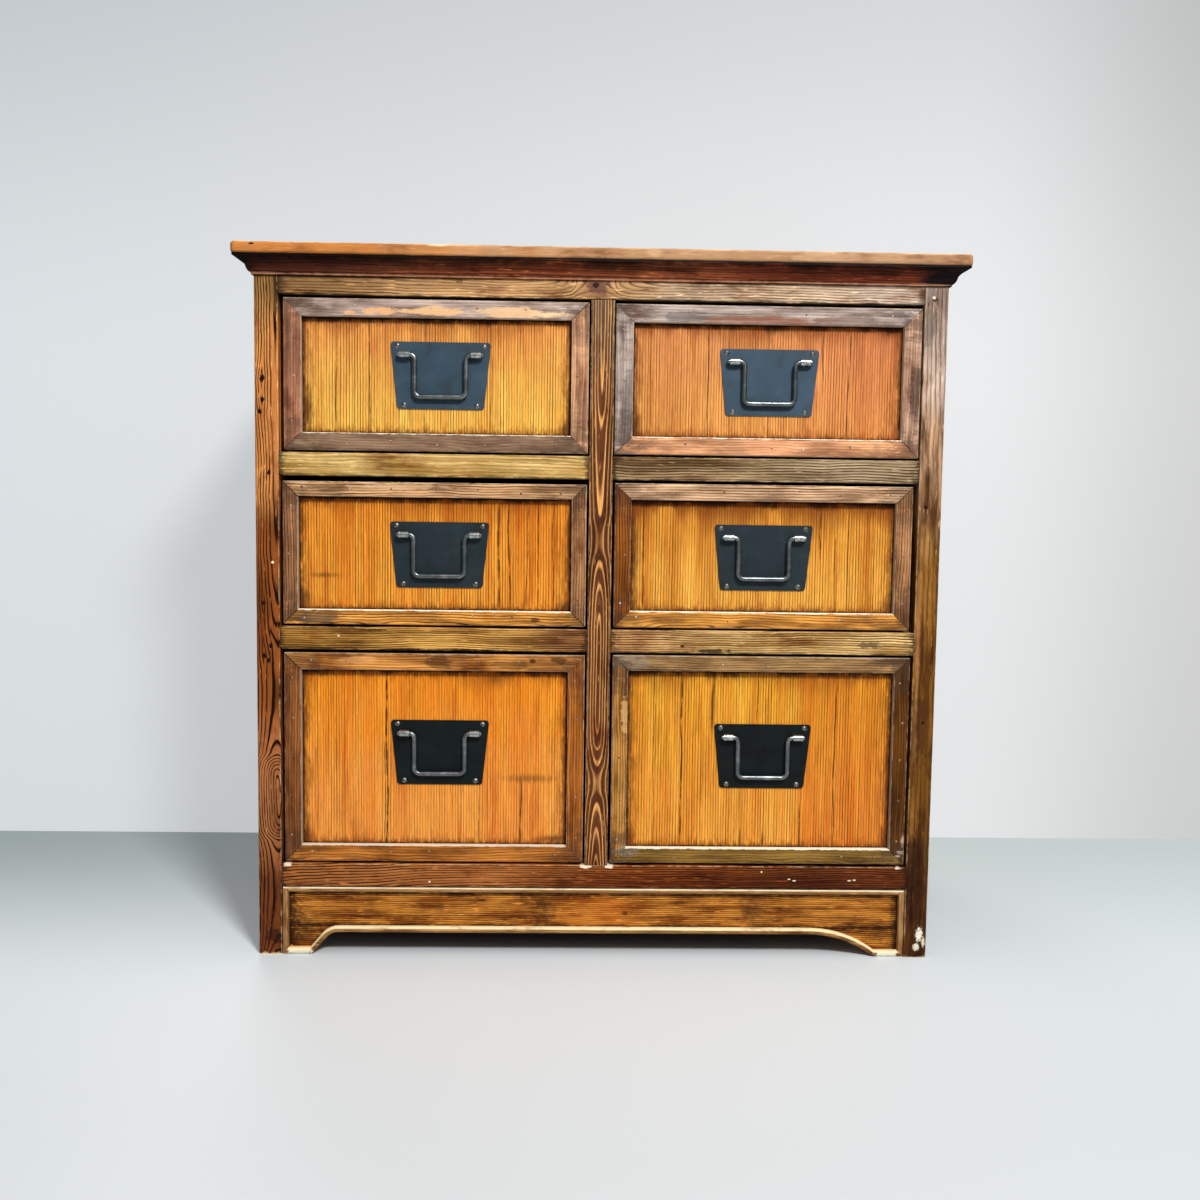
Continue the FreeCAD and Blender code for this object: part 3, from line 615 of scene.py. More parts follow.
# turns: light, dark, where the tone starts and ends. Edges: tint, width, amount, grain. Bands: the same,
# after their axis and level. Fronts: the values of front(). Knots: across, along, reach.
caseLooks = {
    "top_planks": dict(grain="flatX", light="#dc8e48", dark="#ac6a32", line="#6a3a18", ringSpacing=0.003,
        ringDrift=0.9, lineStrength=0.45, seed=2.0, leanReach=0.03, fibreDepth=0.25, fleckStrength=0.3,
        patchiness=0.7, patchSize=(0.02, 0.02, 0.16),
        turns=[("#dcae82", "#9c7048", -0.34, 0.02), ("#dcb088", "#a07650", 0.0, 0.3)],
        boards=("y", 0.0, 0.1475, 3), edges=[],
        # a pale line along the top front arris, wear with a painted highlight, and a darker line along the
        # lower edge
        bands=[("z", 0.884, "#f4dcb4", 0.0022, 0.5, (0.04, 0.01, 0.01)),
            ("z", 0.870, "#5a3418", 0.0016, 0.6, (0.04, 0.01, 0.01))],
        spots=[((-0.2, -0.222, 0.883), (0.016, 0.01, 0.003), "#f4dcb4", 0.6, (0.01, 0.01, 0.004), 0.3),
            ((-0.422, -0.222, 0.8805), (0.004, 0.01, 0.0016), "#1d0d06", 1.0, (0.01, 0.01, 0.01), 0.55)]),
    "cornice": dict(grain="x", light="#5c2c1a", dark="#301208", line="#1a0502", seed=3.0, ringSpacing=0.003,
        lineStrength=1.0, turns=[("#cc7448", "#6e3018", -0.34, -0.16), ("#944628", "#4c1a0c", 0.05, 0.2)],
        edges=[("#8a4f31", 0.0015, 0.3, (0.02, 0.02, 0.02))],
        # a painted highlight along the lower lip, and painted shadow of the top board over the upper part;
        # the spots make both ends near black
        bands=[("z", 0.8495, "#c08a68", 0.0016, 0.8, (0.05, 0.05, 0.05)),
            ("z", 0.870, "#100303", 0.017, 0.8, (0.09, 0.09, 0.09)),
            ("z", 0.870, "#060101", 0.0085, 0.97, (0.05, 0.05, 0.05))],
        spots=[((-0.45, -0.23, 0.86), (0.045, 0.1, 0.06), "#080202", 0.95, (0.03, 0.03, 0.03), 0.3),
            ((0.44, -0.23, 0.86), (0.07, 0.1, 0.06), "#070509", 0.97, (0.03, 0.03, 0.03), 0.3)]),
    "top_rail": dict(grain="x", light="#b08450", dark="#644024", line="#24140a", lineStrength=1.35,
        lineSharpness=0.7, ringSpacing=0.0033,
        leanPoints=[(-0.43, 0.004), (-0.30, 0.006), (-0.12, 0.001), (-0.04, 0.010), (-0.009, 0.02),
            (0.02, 0.012), (0.10, 0.003), (0.43, 0.001)], flameCentre=0.8475, wobble=0.007, seed=4.0,
        turns=[("#f4bc82", "#9c7246", -0.33, -0.18), ("#f4cfa8", "#9c7e60", -0.02, 0.12),
            ("#e6cab0", "#84705e", 0.2, 0.36)],
        fronts=[(-0.009, 0.846, 0.02, 0.02, "#5a3730", 0.8, 0.012),
            (-0.0095, 0.8427, 0.005, 0.004, "#2c1712"), (-0.385, 0.86, 0.04, 0.01, "#5c4a2c", 0.7, 0.02),
            (-0.176, 0.8445, 0.005, 0.004, "#7a5230", 0.9)],
        edges=[("#f2d8a8", 0.0012, 0.3, (0.03, 0.01, 0.01))], corniceShadow=0.85),
    "front_left_post": dict(light="#ffb062", dark="#b86c34", line="#1c0600", lineStrength=2.2,
        lineSharpness=0.72, ringSpacing=0.0029, fibreDepth=0.3,
        knots=[(-0.4164, 0.7237, 0.003), (-0.4166, 0.6971, 0.002), (-0.4085, 0.395, 0.003),
            (-0.4165, 0.382, 0.003), (-0.4165, 0.448, 0.002)],
        leanPoints=[(0.0, 0.012), (0.09, 0.022), (0.145, 0.018), (0.205, 0.0), (0.26, 0.018), (0.33, 0.022),
            (0.45, 0.014), (0.6, 0.010), (0.83, 0.008), (0.884, 0.008)], flameCentre=-0.400, wobble=0.007,
        seed=5.0,
        turns=[("#b0622a", "#4e2008", 0.63, 0.52), ("#d08450", "#6c3a1a", 0.34, 0.2),
            ("#84441e", "#3c1a08", 0.15, 0.06), ("#a87a44", "#3c2a14", 0.77, 0.84)],
        fronts=[(-0.4164, 0.7237, 0.0035, 0.006, "#1a0803"), (-0.4166, 0.6971, 0.003, 0.004, "#1a0803"),
            (-0.4191, 0.6837, 0.003, 0.004, "#1a0803"), (-0.4085, 0.609, 0.0026, 0.004, "#1a0803"),
            (-0.4085, 0.395, 0.003, 0.004, "#1a0803"), (-0.4165, 0.382, 0.003, 0.005, "#1a0803"),
            (-0.411, 0.375, 0.002, 0.004, "#1a0803"), (-0.4165, 0.448, 0.003, 0.004, "#2a1006"),
            (-0.4055, 0.4985, 0.0022, 0.002, "#f4e3c4"), (-0.405, 0.024, 0.014, 0.012, "#2a1408", 0.8)],
        bands=[("z", 0.0, "#e2cba2", 0.005, 0.95, ends)], corniceShadow=0.9),
    "front_right_post": dict(light="#e2c4ae", dark="#8a7264", line="#341c0c", lineStrength=1.15,
        ringSpacing=0.006, leanReach=0.012, wobble=0.01, ringDrift=1.2, seed=6.0, patchiness=1.4,
        patchSize=(0.02, 0.02, 0.09),
        turns=[("#dcac84", "#543820", 0.74, 0.66), ("#ac7630", "#5a320c", 0.64, 0.5),
            ("#94621e", "#4c2a0a", 0.44, 0.3), ("#6c4018", "#341804", 0.2, 0.1)],
        fronts=[(0.4165, 0.03, 0.005, 0.011, "#e9dfcd", 0.95, 0.0022),
            (0.413, 0.014, 0.005, 0.006, "#e4d8c2", 0.9, 0.002),
            (0.422, 0.02, 0.0025, 0.008, "#d9c7a8", 0.9, 0.002),
            (0.41, 0.30, 0.01, 0.05, "#4a2a10", 0.6, 0.02),
            (0.403, 0.838, 0.009, 0.014, "#776a66", 0.6, 0.01),
            (0.4082, 0.8318, 0.0042, 0.0036, "#2c1c14", 0.9, 0.01),
            (0.4074, 0.8345, 0.0027, 0.0028, "#e6c8a0", 0.95, 0.02),
            (0.412, 0.305, 0.0022, 0.0022, "#160a05", 1.0, 0.02),
            (0.406, 0.577, 0.0026, 0.0028, "#140a05", 1.0, 0.02),
            (0.40, 0.80, 0.012, 0.03, "#5c5248", 0.55, 0.02),
            # a lighter golden stripe down the middle of the post: painted sheen
            (0.4022, 0.40, 0.0042, 0.30, "#c88c58", 0.5, 0.03, -0.4)],
        bands=[("z", 0.0, "#a98d66", 0.003, 0.8, ends)], corniceShadow=0.8),
    "centre_stile": dict(light="#7c482a", dark="#301608", line="#f4ac62",
        turns=[("#7c6250", "#38281c", 0.68, 0.78), ("#6c3c20", "#26100a", 0.3, 0.18)], lineStrength=1.4,
        lineSharpness=0.85, fleckStrength=0.3, ringSpacing=0.0033,
        leanPoints=[(0.118, 0.001), (0.134, 0.0033), (0.17, 0.0066), (0.203, 0.0099), (0.225, 0.012),
            (0.244, 0.0099), (0.265, 0.0066), (0.284, 0.0033), (0.36, 0.0), (0.444, 0.0033),
            (0.479, 0.0066), (0.508, 0.0099), (0.53, 0.012), (0.561, 0.0099), (0.669, 0.0066),
            (0.712, 0.0033), (0.825, 0.001)], wobble=0.002, ringDrift=0.5, seed=7.0, fibreDepth=0.5),
    "upper_left_rail": dict(railWood, light="#f8d084", dark="#b1853f", line="#5e441e", lineStrength=0.8,
        ringSpacing=0.0042, seed=8.0, fibreDepth=0.5, patchiness=1.3),
    "upper_right_rail": dict(railWood, light="#c8a474", dark="#664826", line="#1c1006", lineStrength=1.7,
        lineSharpness=0.7, ringSpacing=0.0034, turns=[("#c8aa82", "#665038", 0.1, 0.3)], seed=9.0,
        patchiness=1.3),
    "lower_left_rail": dict(railWood, light="#cc9240", dark="#6c461a", line="#241204", lineStrength=1.9,
        lineSharpness=0.7, ringSpacing=0.0028,
        turns=[("#fabc60", "#946026", -0.36, -0.26), ("#bc8048", "#683c20", -0.14, -0.02)], seed=10.0,
        patchiness=1.4,
        fronts=[(-0.3244, 0.4078, 0.0022, 0.0016, "#fbf0dc", 0.95, 0.02),
            (-0.2828, 0.4154, 0.02, 0.0018, "#120903", 0.8, 0.006),
            (-0.24, 0.3915, 0.03, 0.002, "#0c0603", 0.9, 0.005),
            (-0.17, 0.3915, 0.05, 0.0016, "#0c0603", 0.9, 0.005)]),
    "lower_right_rail": dict(railWood, light="#d49a60", dark="#7c5028", line="#2a1608", lineStrength=1.8,
        lineSharpness=0.7, ringSpacing=0.003, turns=[("#fcd088", "#a87a3c", 0.05, 0.16)], seed=11.0,
        patchiness=1.4,
        fronts=[(0.14, 0.394, 0.03, 0.003, "#171009", 0.85, 0.008),
            (0.105, 0.399, 0.003, 0.002, "#1d0f06", 0.9, 0.01),
            (0.34, 0.403, 0.02, 0.005, "#4a3c28", 0.7, 0.006)]),
    "bottom_rail": dict(grain="x", light="#cc7e40", dark="#7a411e", line="#260b02", lineStrength=2.0,
        lineSharpness=0.7, ringSpacing=0.003,
        leanPoints=[(-0.43, 0.032), (-0.3, 0.022), (-0.1, 0.008), (0.1, 0.012), (0.43, 0.0)],
        flameCentre=0.07, seed=12.0,
        turns=[("#a85a20", "#581f06", -0.16, 0.04), ("#84421a", "#3a1404", 0.08, 0.3)], fibreDepth=0.35,
        fronts=[(0.247, 0.1015, 0.0022, 0.001, "#f3e6cc", 0.9, 0.02),
            (0.2535, 0.0995, 0.0026, 0.0009, "#f3e6cc", 0.9, 0.02),
            (0.324, 0.1, 0.003, 0.0011, "#ead9bd", 0.9, 0.01),
            (0.3305, 0.1008, 0.0022, 0.0012, "#ead9bd", 0.9, 0.01),
            (-0.2105, 0.0955, 0.0024, 0.0018, "#fbe8c6", 0.95, 0.02),
            (0.2115, 0.1108, 0.0012, 0.0012, "#f3e2c0", 0.9, 0.02),
            (-0.39, 0.117, 0.006, 0.0035, "#f0e0c4", 0.9, 0.006),
            (-0.013, 0.1165, 0.01, 0.003, "#f0e0c4", 0.9, 0.006),
            (0.016, 0.1165, 0.008, 0.003, "#f0e0c4", 0.9, 0.006),
            (0.386, 0.1165, 0.006, 0.002, "#f0e0c4", 0.8, 0.006)]),
    "apron": dict(grain="x", light="#ec983c", dark="#945014", line="#2a0c04", lineStrength=1.9,
        lineSharpness=0.8, ringSpacing=0.0026, ringDrift=1.4, seed=13.0, fibreDepth=0.55, crackGap=0.016,
        crackStrength=0.8, patchSize=(0.012, 0.012, 0.06), patchiness=1.7,
        # near-black painted shade at both levels and both sides where the apron sits back behind its beads
        bands=[("z", 0.0805, "#1c0c04", 0.0075, 0.95, (0.02, 0.02, 0.008)),
            ("z", 0.0355, "#1c0c04", 0.0045, 0.9, (0.02, 0.02, 0.006)),
            ("x", -0.3895, "#1c0c04", 0.022, 0.95, (0.01, 0.01, 0.006)),
            ("x", 0.3895, "#140a04", 0.012, 0.95, (0.01, 0.01, 0.01))], stainSize=(0.014, 0.014, 0.07),
        stainStrength=1.0, stain="#6e4020",
        fronts=[(0.0382, 0.0536, 0.005, 0.004, "#241006"),
            (-0.07, 0.06, 0.035, 0.05, "#3a1c0a", 0.8, 0.01, -0.2),
            (0.0, 0.055, 0.07, 0.04, "#c8641a", 0.45, 0.03, -0.2),
            (0.2, 0.06, 0.025, 0.05, "#3a1c0a", 0.8, 0.01, -0.2),
            (-0.37, 0.03, 0.03, 0.03, "#2c1608", 0.75, 0.008, 0.0),
            (0.37, 0.03, 0.02, 0.02, "#2c1608", 0.6, 0.008, 0.0)]),
    "apron_beads": dict(grain="x", uprightPast=0.3895, light="#d0a068", dark="#8c5c30", line="#4a2810",
        lineStrength=0.7, ringSpacing=0.003, seed=14.0, crest=("#f3dfb6", 0.05, 0.5)),
    "arch_bead": dict(grain="x", light="#c08e54", dark="#6e4520", line="#40220c", lineStrength=0.7,
        ringSpacing=0.003, seed=15.0, patchSize=(0.02, 0.02, 0.05), patchiness=1.5,
        crest=("#efd8a8", 0.05, 0.6),
        fronts=[(-0.372, 0.004, 0.02, 0.007, "#eadfc6", 0.95, 0.008),
            (0.376, 0.004, 0.016, 0.007, "#e6dcc4", 0.95, 0.006)]),
}
hiddenWood = {"light": "#b98a58", "dark": "#8f6438", "line": "#4f3018", "lineStrength": 0.55,
              "ringSpacing": 0.006, "leanReach": 0.04, "leanLength": 0.5, "ringDrift": 1.0, "seed": 20.0}
backPost = dict(light="#a8703c", dark="#7a4a24", seed=21.0)
sidePanel = dict(light="#d08a44", dark="#9c6230", line="#5a2e14", lineStrength=0.8, grain="sideZ", seed=22.0,
                 edges=[darkEdge])
hiddenLooks = {
    "back_left_post": backPost, "left_side_panel": sidePanel, "back_right_post": backPost,
    "right_side_panel": sidePanel, "side_rails": dict(grain="y", light="#b8783e", dark="#804e24"),
    "back_panel": dict(seed=23.0), "back_rails": dict(grain="x"), "case_floor": dict(grain="x"),
    "partition": {}, "drawer_runners": dict(grain="y"),
}
sideBoards, backBoards = 3, 5


def paintCase():
    for node, look in caseLooks.items():
        middle, half = boxOf(node)
        bands = look.get("bands", [])
        if node.endswith("_rail"):
            bands = [("x", middle.x + side * (half.x - tenon), *railEnd) for side in (-1, 1)]
            bands.append(("z", middle.z - half.z, *railFootShade))
        # a near-black painted shadow just below the cornice, on the top rail and the posts
        if "corniceShadow" in look:
            bands = bands + [("z", corniceFoot, "#060202", 0.0062, look["corniceShadow"], (0.09, 0.03, 0.03))]
        changes = {"box": (middle, half), "edges": [wornLitEdge], **look, "bands": bands}
        paint(node, woodMaterial(node + "_finish", **changes))

    for node, look in hiddenLooks.items():
        middle, half = boxOf(node)
        changes = {**hiddenWood, **look}
        if node.endswith("_side_panel"):
            changes.update(boards=("y", middle.y, half.y * 2 / sideBoards, sideBoards), box=(middle, half))
        if node == "back_panel":
            changes.update(boards=("x", 0.0, half.x * 2 / backBoards, backBoards))
        paint(node, woodMaterial(node + "_finish", **changes))


crackEnds = (-1.2, 1.2)            # a crack without ends of its own runs past both ends of the board
# Cracks: x, width, strength and then low and high, as parts of the opening's half height.
# Smudges: middle and reach as parts of the opening's half size, and amount.
panelLooks = {                     # light and dark at the top, lowLight and lowDark at the bottom; the darker, redder top is partly painted shade below the frame's top strip
    "upper_left": dict(light="#fba854", dark="#d8883e", lowLight="#ffcc5e", lowDark="#f2a640",
        line="#6e361c", seed=31.0, lineStrength=1.35,
        smudges=[(-0.97, -0.6, 0.07, 0.5, 0.9), (0.97, -0.9, 0.08, 0.3, 0.9)],
        cracks=[(-0.328, 0.0012, 0.8), (-0.2877, 0.0013, 0.9), (-0.22, 0.0011, 0.8),
            (-0.1377, 0.001, 0.6)]),
    "upper_right": dict(light="#f0a05c", dark="#c27640", lowLight="#f6aa58", lowDark="#cf8540",
        line="#6c3420", seed=32.0, shade=0.6, redder=(0.2, 0.3, "#fcf0ff"),
        smudges=[(-0.97, -0.8, 0.06, 0.4, 0.8), (0.95, 0.9, 0.2, 0.12, 0.7)],
        cracks=[(0.1327, 0.0012, 0.85), (0.0606, 0.001, 0.6), (0.1576, 0.0009, 0.6), (0.2077, 0.0012, 0.7),
            (0.3074, 0.0013, 0.8), (0.2749, 0.0016, 0.7, -0.2, 1.2)]),
    "middle_left": dict(light="#ffa436", dark="#dc781e", lowLight="#ffb042", lowDark="#ec8a28",
        line="#5a220a", seed=33.0, lineStrength=1.4,
        smudges=[(-0.97, -0.85, 0.08, 0.3, 0.8), (-0.82, -0.4, 0.16, 0.07, 0.6),
            (0.95, -0.95, 0.12, 0.2, 0.8), (0.98, 0.2, 0.03, 0.9, 0.6), (0.0, -1.02, 0.9, 0.08, 0.6)],
        cracks=[(-0.1261, 0.0024, 0.85), (-0.1136, 0.002, 0.85), (-0.0911, 0.0012, 0.7),
            (-0.0773, 0.0015, 0.8), (-0.0586, 0.0018, 0.7), (-0.152, 0.001, 0.6)]),
    "middle_right": dict(light="#f4a43c", dark="#c47422", lowLight="#ffba50", lowDark="#dc8c2e",
        line="#52240e", seed=34.0, shade=0.85, shadeReach=0.045,
        smudges=[(-0.98, 0.0, 0.04, 0.9, 0.8), (0.97, -0.9, 0.07, 0.3, 0.8), (0.0, -1.02, 0.9, 0.08, 0.6)],
        cracks=[(0.0543, 0.0016, 0.85), (0.2774, 0.0016, 0.85, -0.2, 1.2), (0.3128, 0.0012, 0.7),
            (0.2976, 0.0012, 0.7, -1.2, 0.6), (0.345, 0.0011, 0.7)]),
    "lower_left": dict(light="#ffa22c", dark="#f08218", lowLight="#ffac4c", lowDark="#f8903a",
        line="#85391a", seed=35.0, lineStrength=1.0,
        smudges=[(-0.97, -0.9, 0.06, 0.15, 0.9), (-0.85, 1.0, 0.2, 0.12, 0.7),
            (0.72, -0.24, 0.3, 0.07, 0.55), (0.45, 0.9, 0.13, 0.1, 0.5), (0.9, -0.93, 0.16, 0.06, 0.8)],
        cracks=[(-0.2657, 0.0019, 0.95), (-0.2685, 0.001, 0.8, -1.1, 0.3),
            (-0.097, 0.0017, 0.9, -1.2, -0.1), (-0.33, 0.0009, 0.6), (-0.15, 0.0011, 0.7, -1.1, -0.3),
            (-0.098, 0.001, 0.5, 0.2, 1.1)]),
    "lower_right": dict(light="#ffba3a", dark="#e08c24", lowLight="#ffb44a", lowDark="#ec8826",
        line="#5a280a", seed=36.0, redder=(0.2, 0.3, "#f4dcd8"),
        smudges=[(-0.97, -0.9, 0.06, 0.2, 0.8), (0.985, 0.0, 0.03, 0.9, 0.6)],
        cracks=[(0.1072, 0.0017, 0.95), (0.1461, 0.0032, 0.8, 0.2, 1.1), (0.2021, 0.0012, 0.8, 0.3, 1.2),
            (0.3029, 0.0014, 0.85), (0.2604, 0.0018, 0.85, -1.2, -0.4), (0.1836, 0.002, 0.7, -1.2, -0.6),
            (0.2144, 0.0022, 0.8, -1.2, -0.7), (0.072, 0.001, 0.7)]),
}
stripTones = {
    "greyMauve": "#bca79c", "slate": "#aa9a92", "mauve": "#b8937c", "clay": "#cc9a76", "umber": "#8d7159",
    "redUmber": "#b07a5e", "salmon": "#dc9f74", "tan": "#cc9f72", "fawn": "#d2aa84", "honey": "#e49e48",
    "brown": "#a87850", "chestnut": "#a0704c", "rust": "#8c5018", "cinnamon": "#d49048",
    "oliveBrown": "#8d6c32", "ochre": "#b88240", "bark": "#5e380e", "walnut": "#925a30", "toffee": "#c07832",
    "russet": "#ab6526", "drab": "#a07c50",
}
frameLooks = {                     # tones of the top, right, bottom and left strip; cream is the strength of a painted highlight, with some wear, along the bottom strip's inner edge
    "upper_left": dict(cream=0.8, tones=("greyMauve", "clay", "umber", "redUmber"), strip=0.0215, seed=41.0,
        lineStrength=0.5,
        islands=[(-0.31, 0.805, 0.01, 0.003, "#dca672", 0.9), (-0.27, 0.807, 0.03, 0.005, "#dca672", 0.9),
            (-0.205, 0.808, 0.045, 0.007, "#e0b07c", 0.85), (-0.11, 0.808, 0.05, 0.008, "#dcb286", 0.85),
            (-0.06, 0.806, 0.03, 0.004, "#e6c294", 0.85)]),
    "upper_right": dict(cream=1, tones=("slate", "mauve", "salmon", "slate"), strip=0.022, seed=42.0,
        lineStrength=0.5, corner=0.7,
        islands=[(0.2, 0.803, 0.09, 0.007, "#8a5238", 0.6), (0.1, 0.806, 0.03, 0.01, "#55504e", 0.6),
            (0.3, 0.803, 0.05, 0.01, "#6e564a", 0.6), (0.39, 0.72, 0.01, 0.04, "#3c2c26", 0.6),
            (0.034, 0.70, 0.012, 0.06, "#5c5250", 0.5)]),
    "middle_left": dict(cream=1, tones=("tan", "brown", "honey", "chestnut"), strip=0.0185, seed=43.0,
        lineStrength=1.3,
        islands=[(-0.08, 0.43, 0.006, 0.004, "#4a2a12", 0.8), (-0.35, 0.43, 0.03, 0.01, "#5c4a3a", 0.7),
            (-0.25, 0.594, 0.07, 0.004, "#e8bc90", 0.4)]),
    "middle_right": dict(cream=1, tones=("fawn", "brown", "honey", "rust"), strip=0.0205, seed=44.0,
        lineStrength=1.25),
    "lower_left": dict(cream=0.55, tones=("cinnamon", "russet", "toffee", "walnut"), strip=0.021, seed=45.0,
        islands=[(-0.083, 0.378, 0.005, 0.004, "#2c1408", 0.8),
            (-0.05, 0.379, 0.012, 0.005, "#3a2010", 0.75), (-0.2, 0.376, 0.02, 0.009, "#3a2010", 0.6),
            (-0.11, 0.373, 0.03, 0.006, "#3a2010", 0.55), (-0.3, 0.378, 0.03, 0.006, "#e8a868", 0.4)]),
    "lower_right": dict(cream=0.9, tones=("drab", "bark", "oliveBrown", "ochre"), strip=0.0195, seed=46.0,
        corner=0.7,
        islands=[(0.389, 0.1375, 0.006, 0.003, "#d8c0ac", 0.85),
            (0.3915, 0.15, 0.0025, 0.01, "#c8a08c", 0.7), (0.385, 0.132, 0.004, 0.002, "#e4d4c0", 0.85),
            (0.034, 0.31, 0.005, 0.03, "#d8a868", 0.6), (0.04, 0.14, 0.02, 0.012, "#8c8478", 0.5),
            (0.04, 0.378, 0.03, 0.012, "#7c7468", 0.5)]),
}
frameWood = {
    **plainWood, "lineStrength": 0.95, "ringSpacing": 0.0034, "leanReach": 0.016, "leanLength": 0.1,
    "ringDrift": 1.2, "wobble": 0.007, "line": "#35190c", "patchSize": (0.014, 0.014, 0.07),
    "patchiness": 1.4, "fibreDepth": 0.3, "fleckStrength": 0.2, "corner": 0.55,
    "lightPart": (1.36, 1.33, 1.28, 1.0), "darkPart": (0.44, 0.38, 0.34, 1.0), "worn": "#dcc3a4", "wornGrain": (0.012, 0.012, 0.012),
}
panelWood = {
    **plainWood, "ringSpacing": 0.0034, "ringDrift": 0.8, "wobble": 0.0007, "lineStrength": 1.25,
    "lineSharpness": 0.92, "fibreWidth": 0.0013, "fibreDepth": 0.45, "fleckStrength": 0.12,
    "patchSize": (0.022, 0.022, 0.35), "stainSize": (0.012, 0.012, 0.16), "stainStrength": 0.55,
    "stain": "#c98a5c", "shade": 0.5, "shadeReach": 0.03, "relief": 0.0005, "turnHigh": 0.8, "turnLow": -0.7,
}


def frameMaterial(name, look):
    look = {**frameWood, **look}
    middle, half = boxOf(name + "_drawer_frame")
    material, bench, place = newMaterial(name + "_frame_finish")
    tones = dict(zip(("top", "right", "bottom", "left"), (stripTones[tone] for tone in look["tones"])))
    strips = bench.group(frameStrips, look, place=place, middle=middle, half=half, **tones)
    light, dark = bench.tinted(strips.tone, look["lightPart"]), bench.tinted(strips.tone, look["darkPart"])
    lean = leanOf(bench, look, bench.split(strips.grain)[2])
    wood = bench.group(oldWood, look, place=strips.grain, light=light, dark=dark, lean=lean)
    islands = [((x, frontY, z), (wide, 0.05, high), tint, amount, (0.02, 0.02, 0.006), 0.6)
               for x, z, wide, high, tint, amount in look.get("islands", [])]
    colour = addSpots(bench, wood.painted, place, islands)
    worn, fleck = look["worn"], look["wornGrain"]
    # darker corners; pale outer and inner edges, wear with a painted highlight on the rounded arrises; dark
    # mitre lines; and a cream painted highlight, with some wear, along the bottom strip's inner edge
    colour = addTints(bench, colour, place, [
        (strips.corner, "#3c2c22", 0.075, look["corner"], (0.03, 0.03, 0.012)),
        (strips.outer, worn, 0.0015, 0.55, fleck), (strips.inner, worn, 0.001, 0.45, fleck),
        (strips.mitre, "#160b06", 0.0007, 0.95, (0.05, 0.05, 0.05)),
        (strips.inner, "#fbf0d8", 0.0015, strips.atBottom * look["cream"], (0.014, 0.014, 0.014))])
    finishWood(bench, look, colour, wood)
    return material


def panelMaterial(name, look, strip):
    look = {**panelWood, **look}
    middle, half = boxOf(name + "_drawer_panel")
    material, bench, place = newMaterial(name + "_panel_finish")
    parts = bench.split(place)
    across, _, up = parts
    # the tone shift from top to bottom is partly painted light: darker and redder at the top, lighter and
    # yellower lower down
    high, low = middle.z + half.z * look["turnHigh"], middle.z + half.z * look["turnLow"]
    colours = [shiftTone(bench, place, up, high, low, look[top], look[bottom])
               for top, bottom in (("light", "lowLight"), ("dark", "lowDark"))]
    if "redder" in look:           # one side is redder than the other
        start, end, tint = look["redder"]
        colours = [shiftTone(bench, place, across, start, end, colour, bench.tinted(colour, tint))
                   for colour in colours]
    wood = bench.group(oldWood, look, place=grainPlace(bench, parts, "z"), light=colours[0], dark=colours[1],
                       lean=leanOf(bench, look, up))
    colour = wood.painted
    openX, openZ = half.x - strip, half.z - strip
    for position, width, strength, *crackSpan in look["cracks"]:
        low, high = (middle.z + part * openZ for part in crackSpan or crackEnds)
        colour = bench.group(splitLine, {}, base=colour, place=place, position=position, low=low, high=high,
                             width=width, strength=strength, tint="#1f0d08").painted
    colour = addSpots(bench, colour, place, [
        ((middle.x + u * openX, middle.y, middle.z + v * openZ), (wide * openX, 0.1, tall * openZ), "#3a2210",
         amount, (0.003, 0.003, 0.016), 0.0) for u, v, wide, tall, amount in look["smudges"]])
    x, _, z = bench.split(place - middle)
    sideways, below, upDown = openX - abs(x), openZ - z, openZ - abs(z)
    inOpening = bench.smooth(bench.least(sideways, upDown), -0.004, -0.001)
    # darker brown towards the opening's edges, a near-black painted shade line right at them, and below the
    # top strip a painted shadow, soft and then near-black
    edgeGrimeAndShade = [
        (sideways, "#6a3610", 0.018, 0.6, (0.006, 0.006, 0.03)),
        (upDown, "#74380e", 0.016, 0.55, (0.006, 0.006, 0.02)),
        (sideways, "#4a2a10", 0.009, 0.8, (0.004, 0.004, 0.02)),
        (upDown, "#4a2408", 0.007, 0.75, (0.004, 0.004, 0.02)),
        (sideways, "#120a06", 0.0035, 0.95, (0.004, 0.004, 0.012)),
        (upDown, "#120a06", 0.0024, 0.95, (0.006, 0.006, 0.006)),
        (below, "#6c300c", look["shadeReach"], look["shade"], (0.1, 0.1, 0.4)),
        (below, "#100603", 0.0095, 0.97, (0.03, 0.03, 0.03))]
    colour = addTints(bench, colour, place, [(distance, tint, width, inOpening * amount, grain)
                                             for distance, tint, width, amount, grain in edgeGrimeAndShade])
    finishWood(bench, look, colour, wood)
    return material


metals = {
    "plate": dict(base="#263b49", rubbed="#3a5061", tarnish="#1b262e", rubbedAmount=0.3, tarnishAmount=0.5,
        grainSize=0.03, smooth=0.42, rough=0.6, metallic=0.3, gloss=0.45),
    "bail": dict(base="#666b6d", rubbed="#a2a6a5", tarnish="#393e40", rubbedAmount=0.5, tarnishAmount=0.4,
        grainSize=0.012, smooth=0.25, rough=0.38, metallic=1.0),
    "ear": dict(base="#9a9e9c", rubbed="#dcdeda", tarnish="#3c4042", rubbedAmount=0.5, tarnishAmount=0.5,
        grainSize=0.005, smooth=0.18, rough=0.34, metallic=1.0),
    "screw": dict(base="#73706b", rubbed="#b9b5ad", tarnish="#2b2826", rubbedAmount=0.6, tarnishAmount=0.8,
        grainSize=0.003, smooth=0.25, rough=0.5, metallic=1.0),
    # the pale patches on a nail head are partly a painted glint
    "nail": dict(base="#6c5040", rubbed="#f2e6d6", tarnish="#1c0e08", rubbedAmount=0.8, tarnishAmount=0.9,
        grainSize=0.003, smooth=0.4, rough=0.7, metallic=0.3),
}
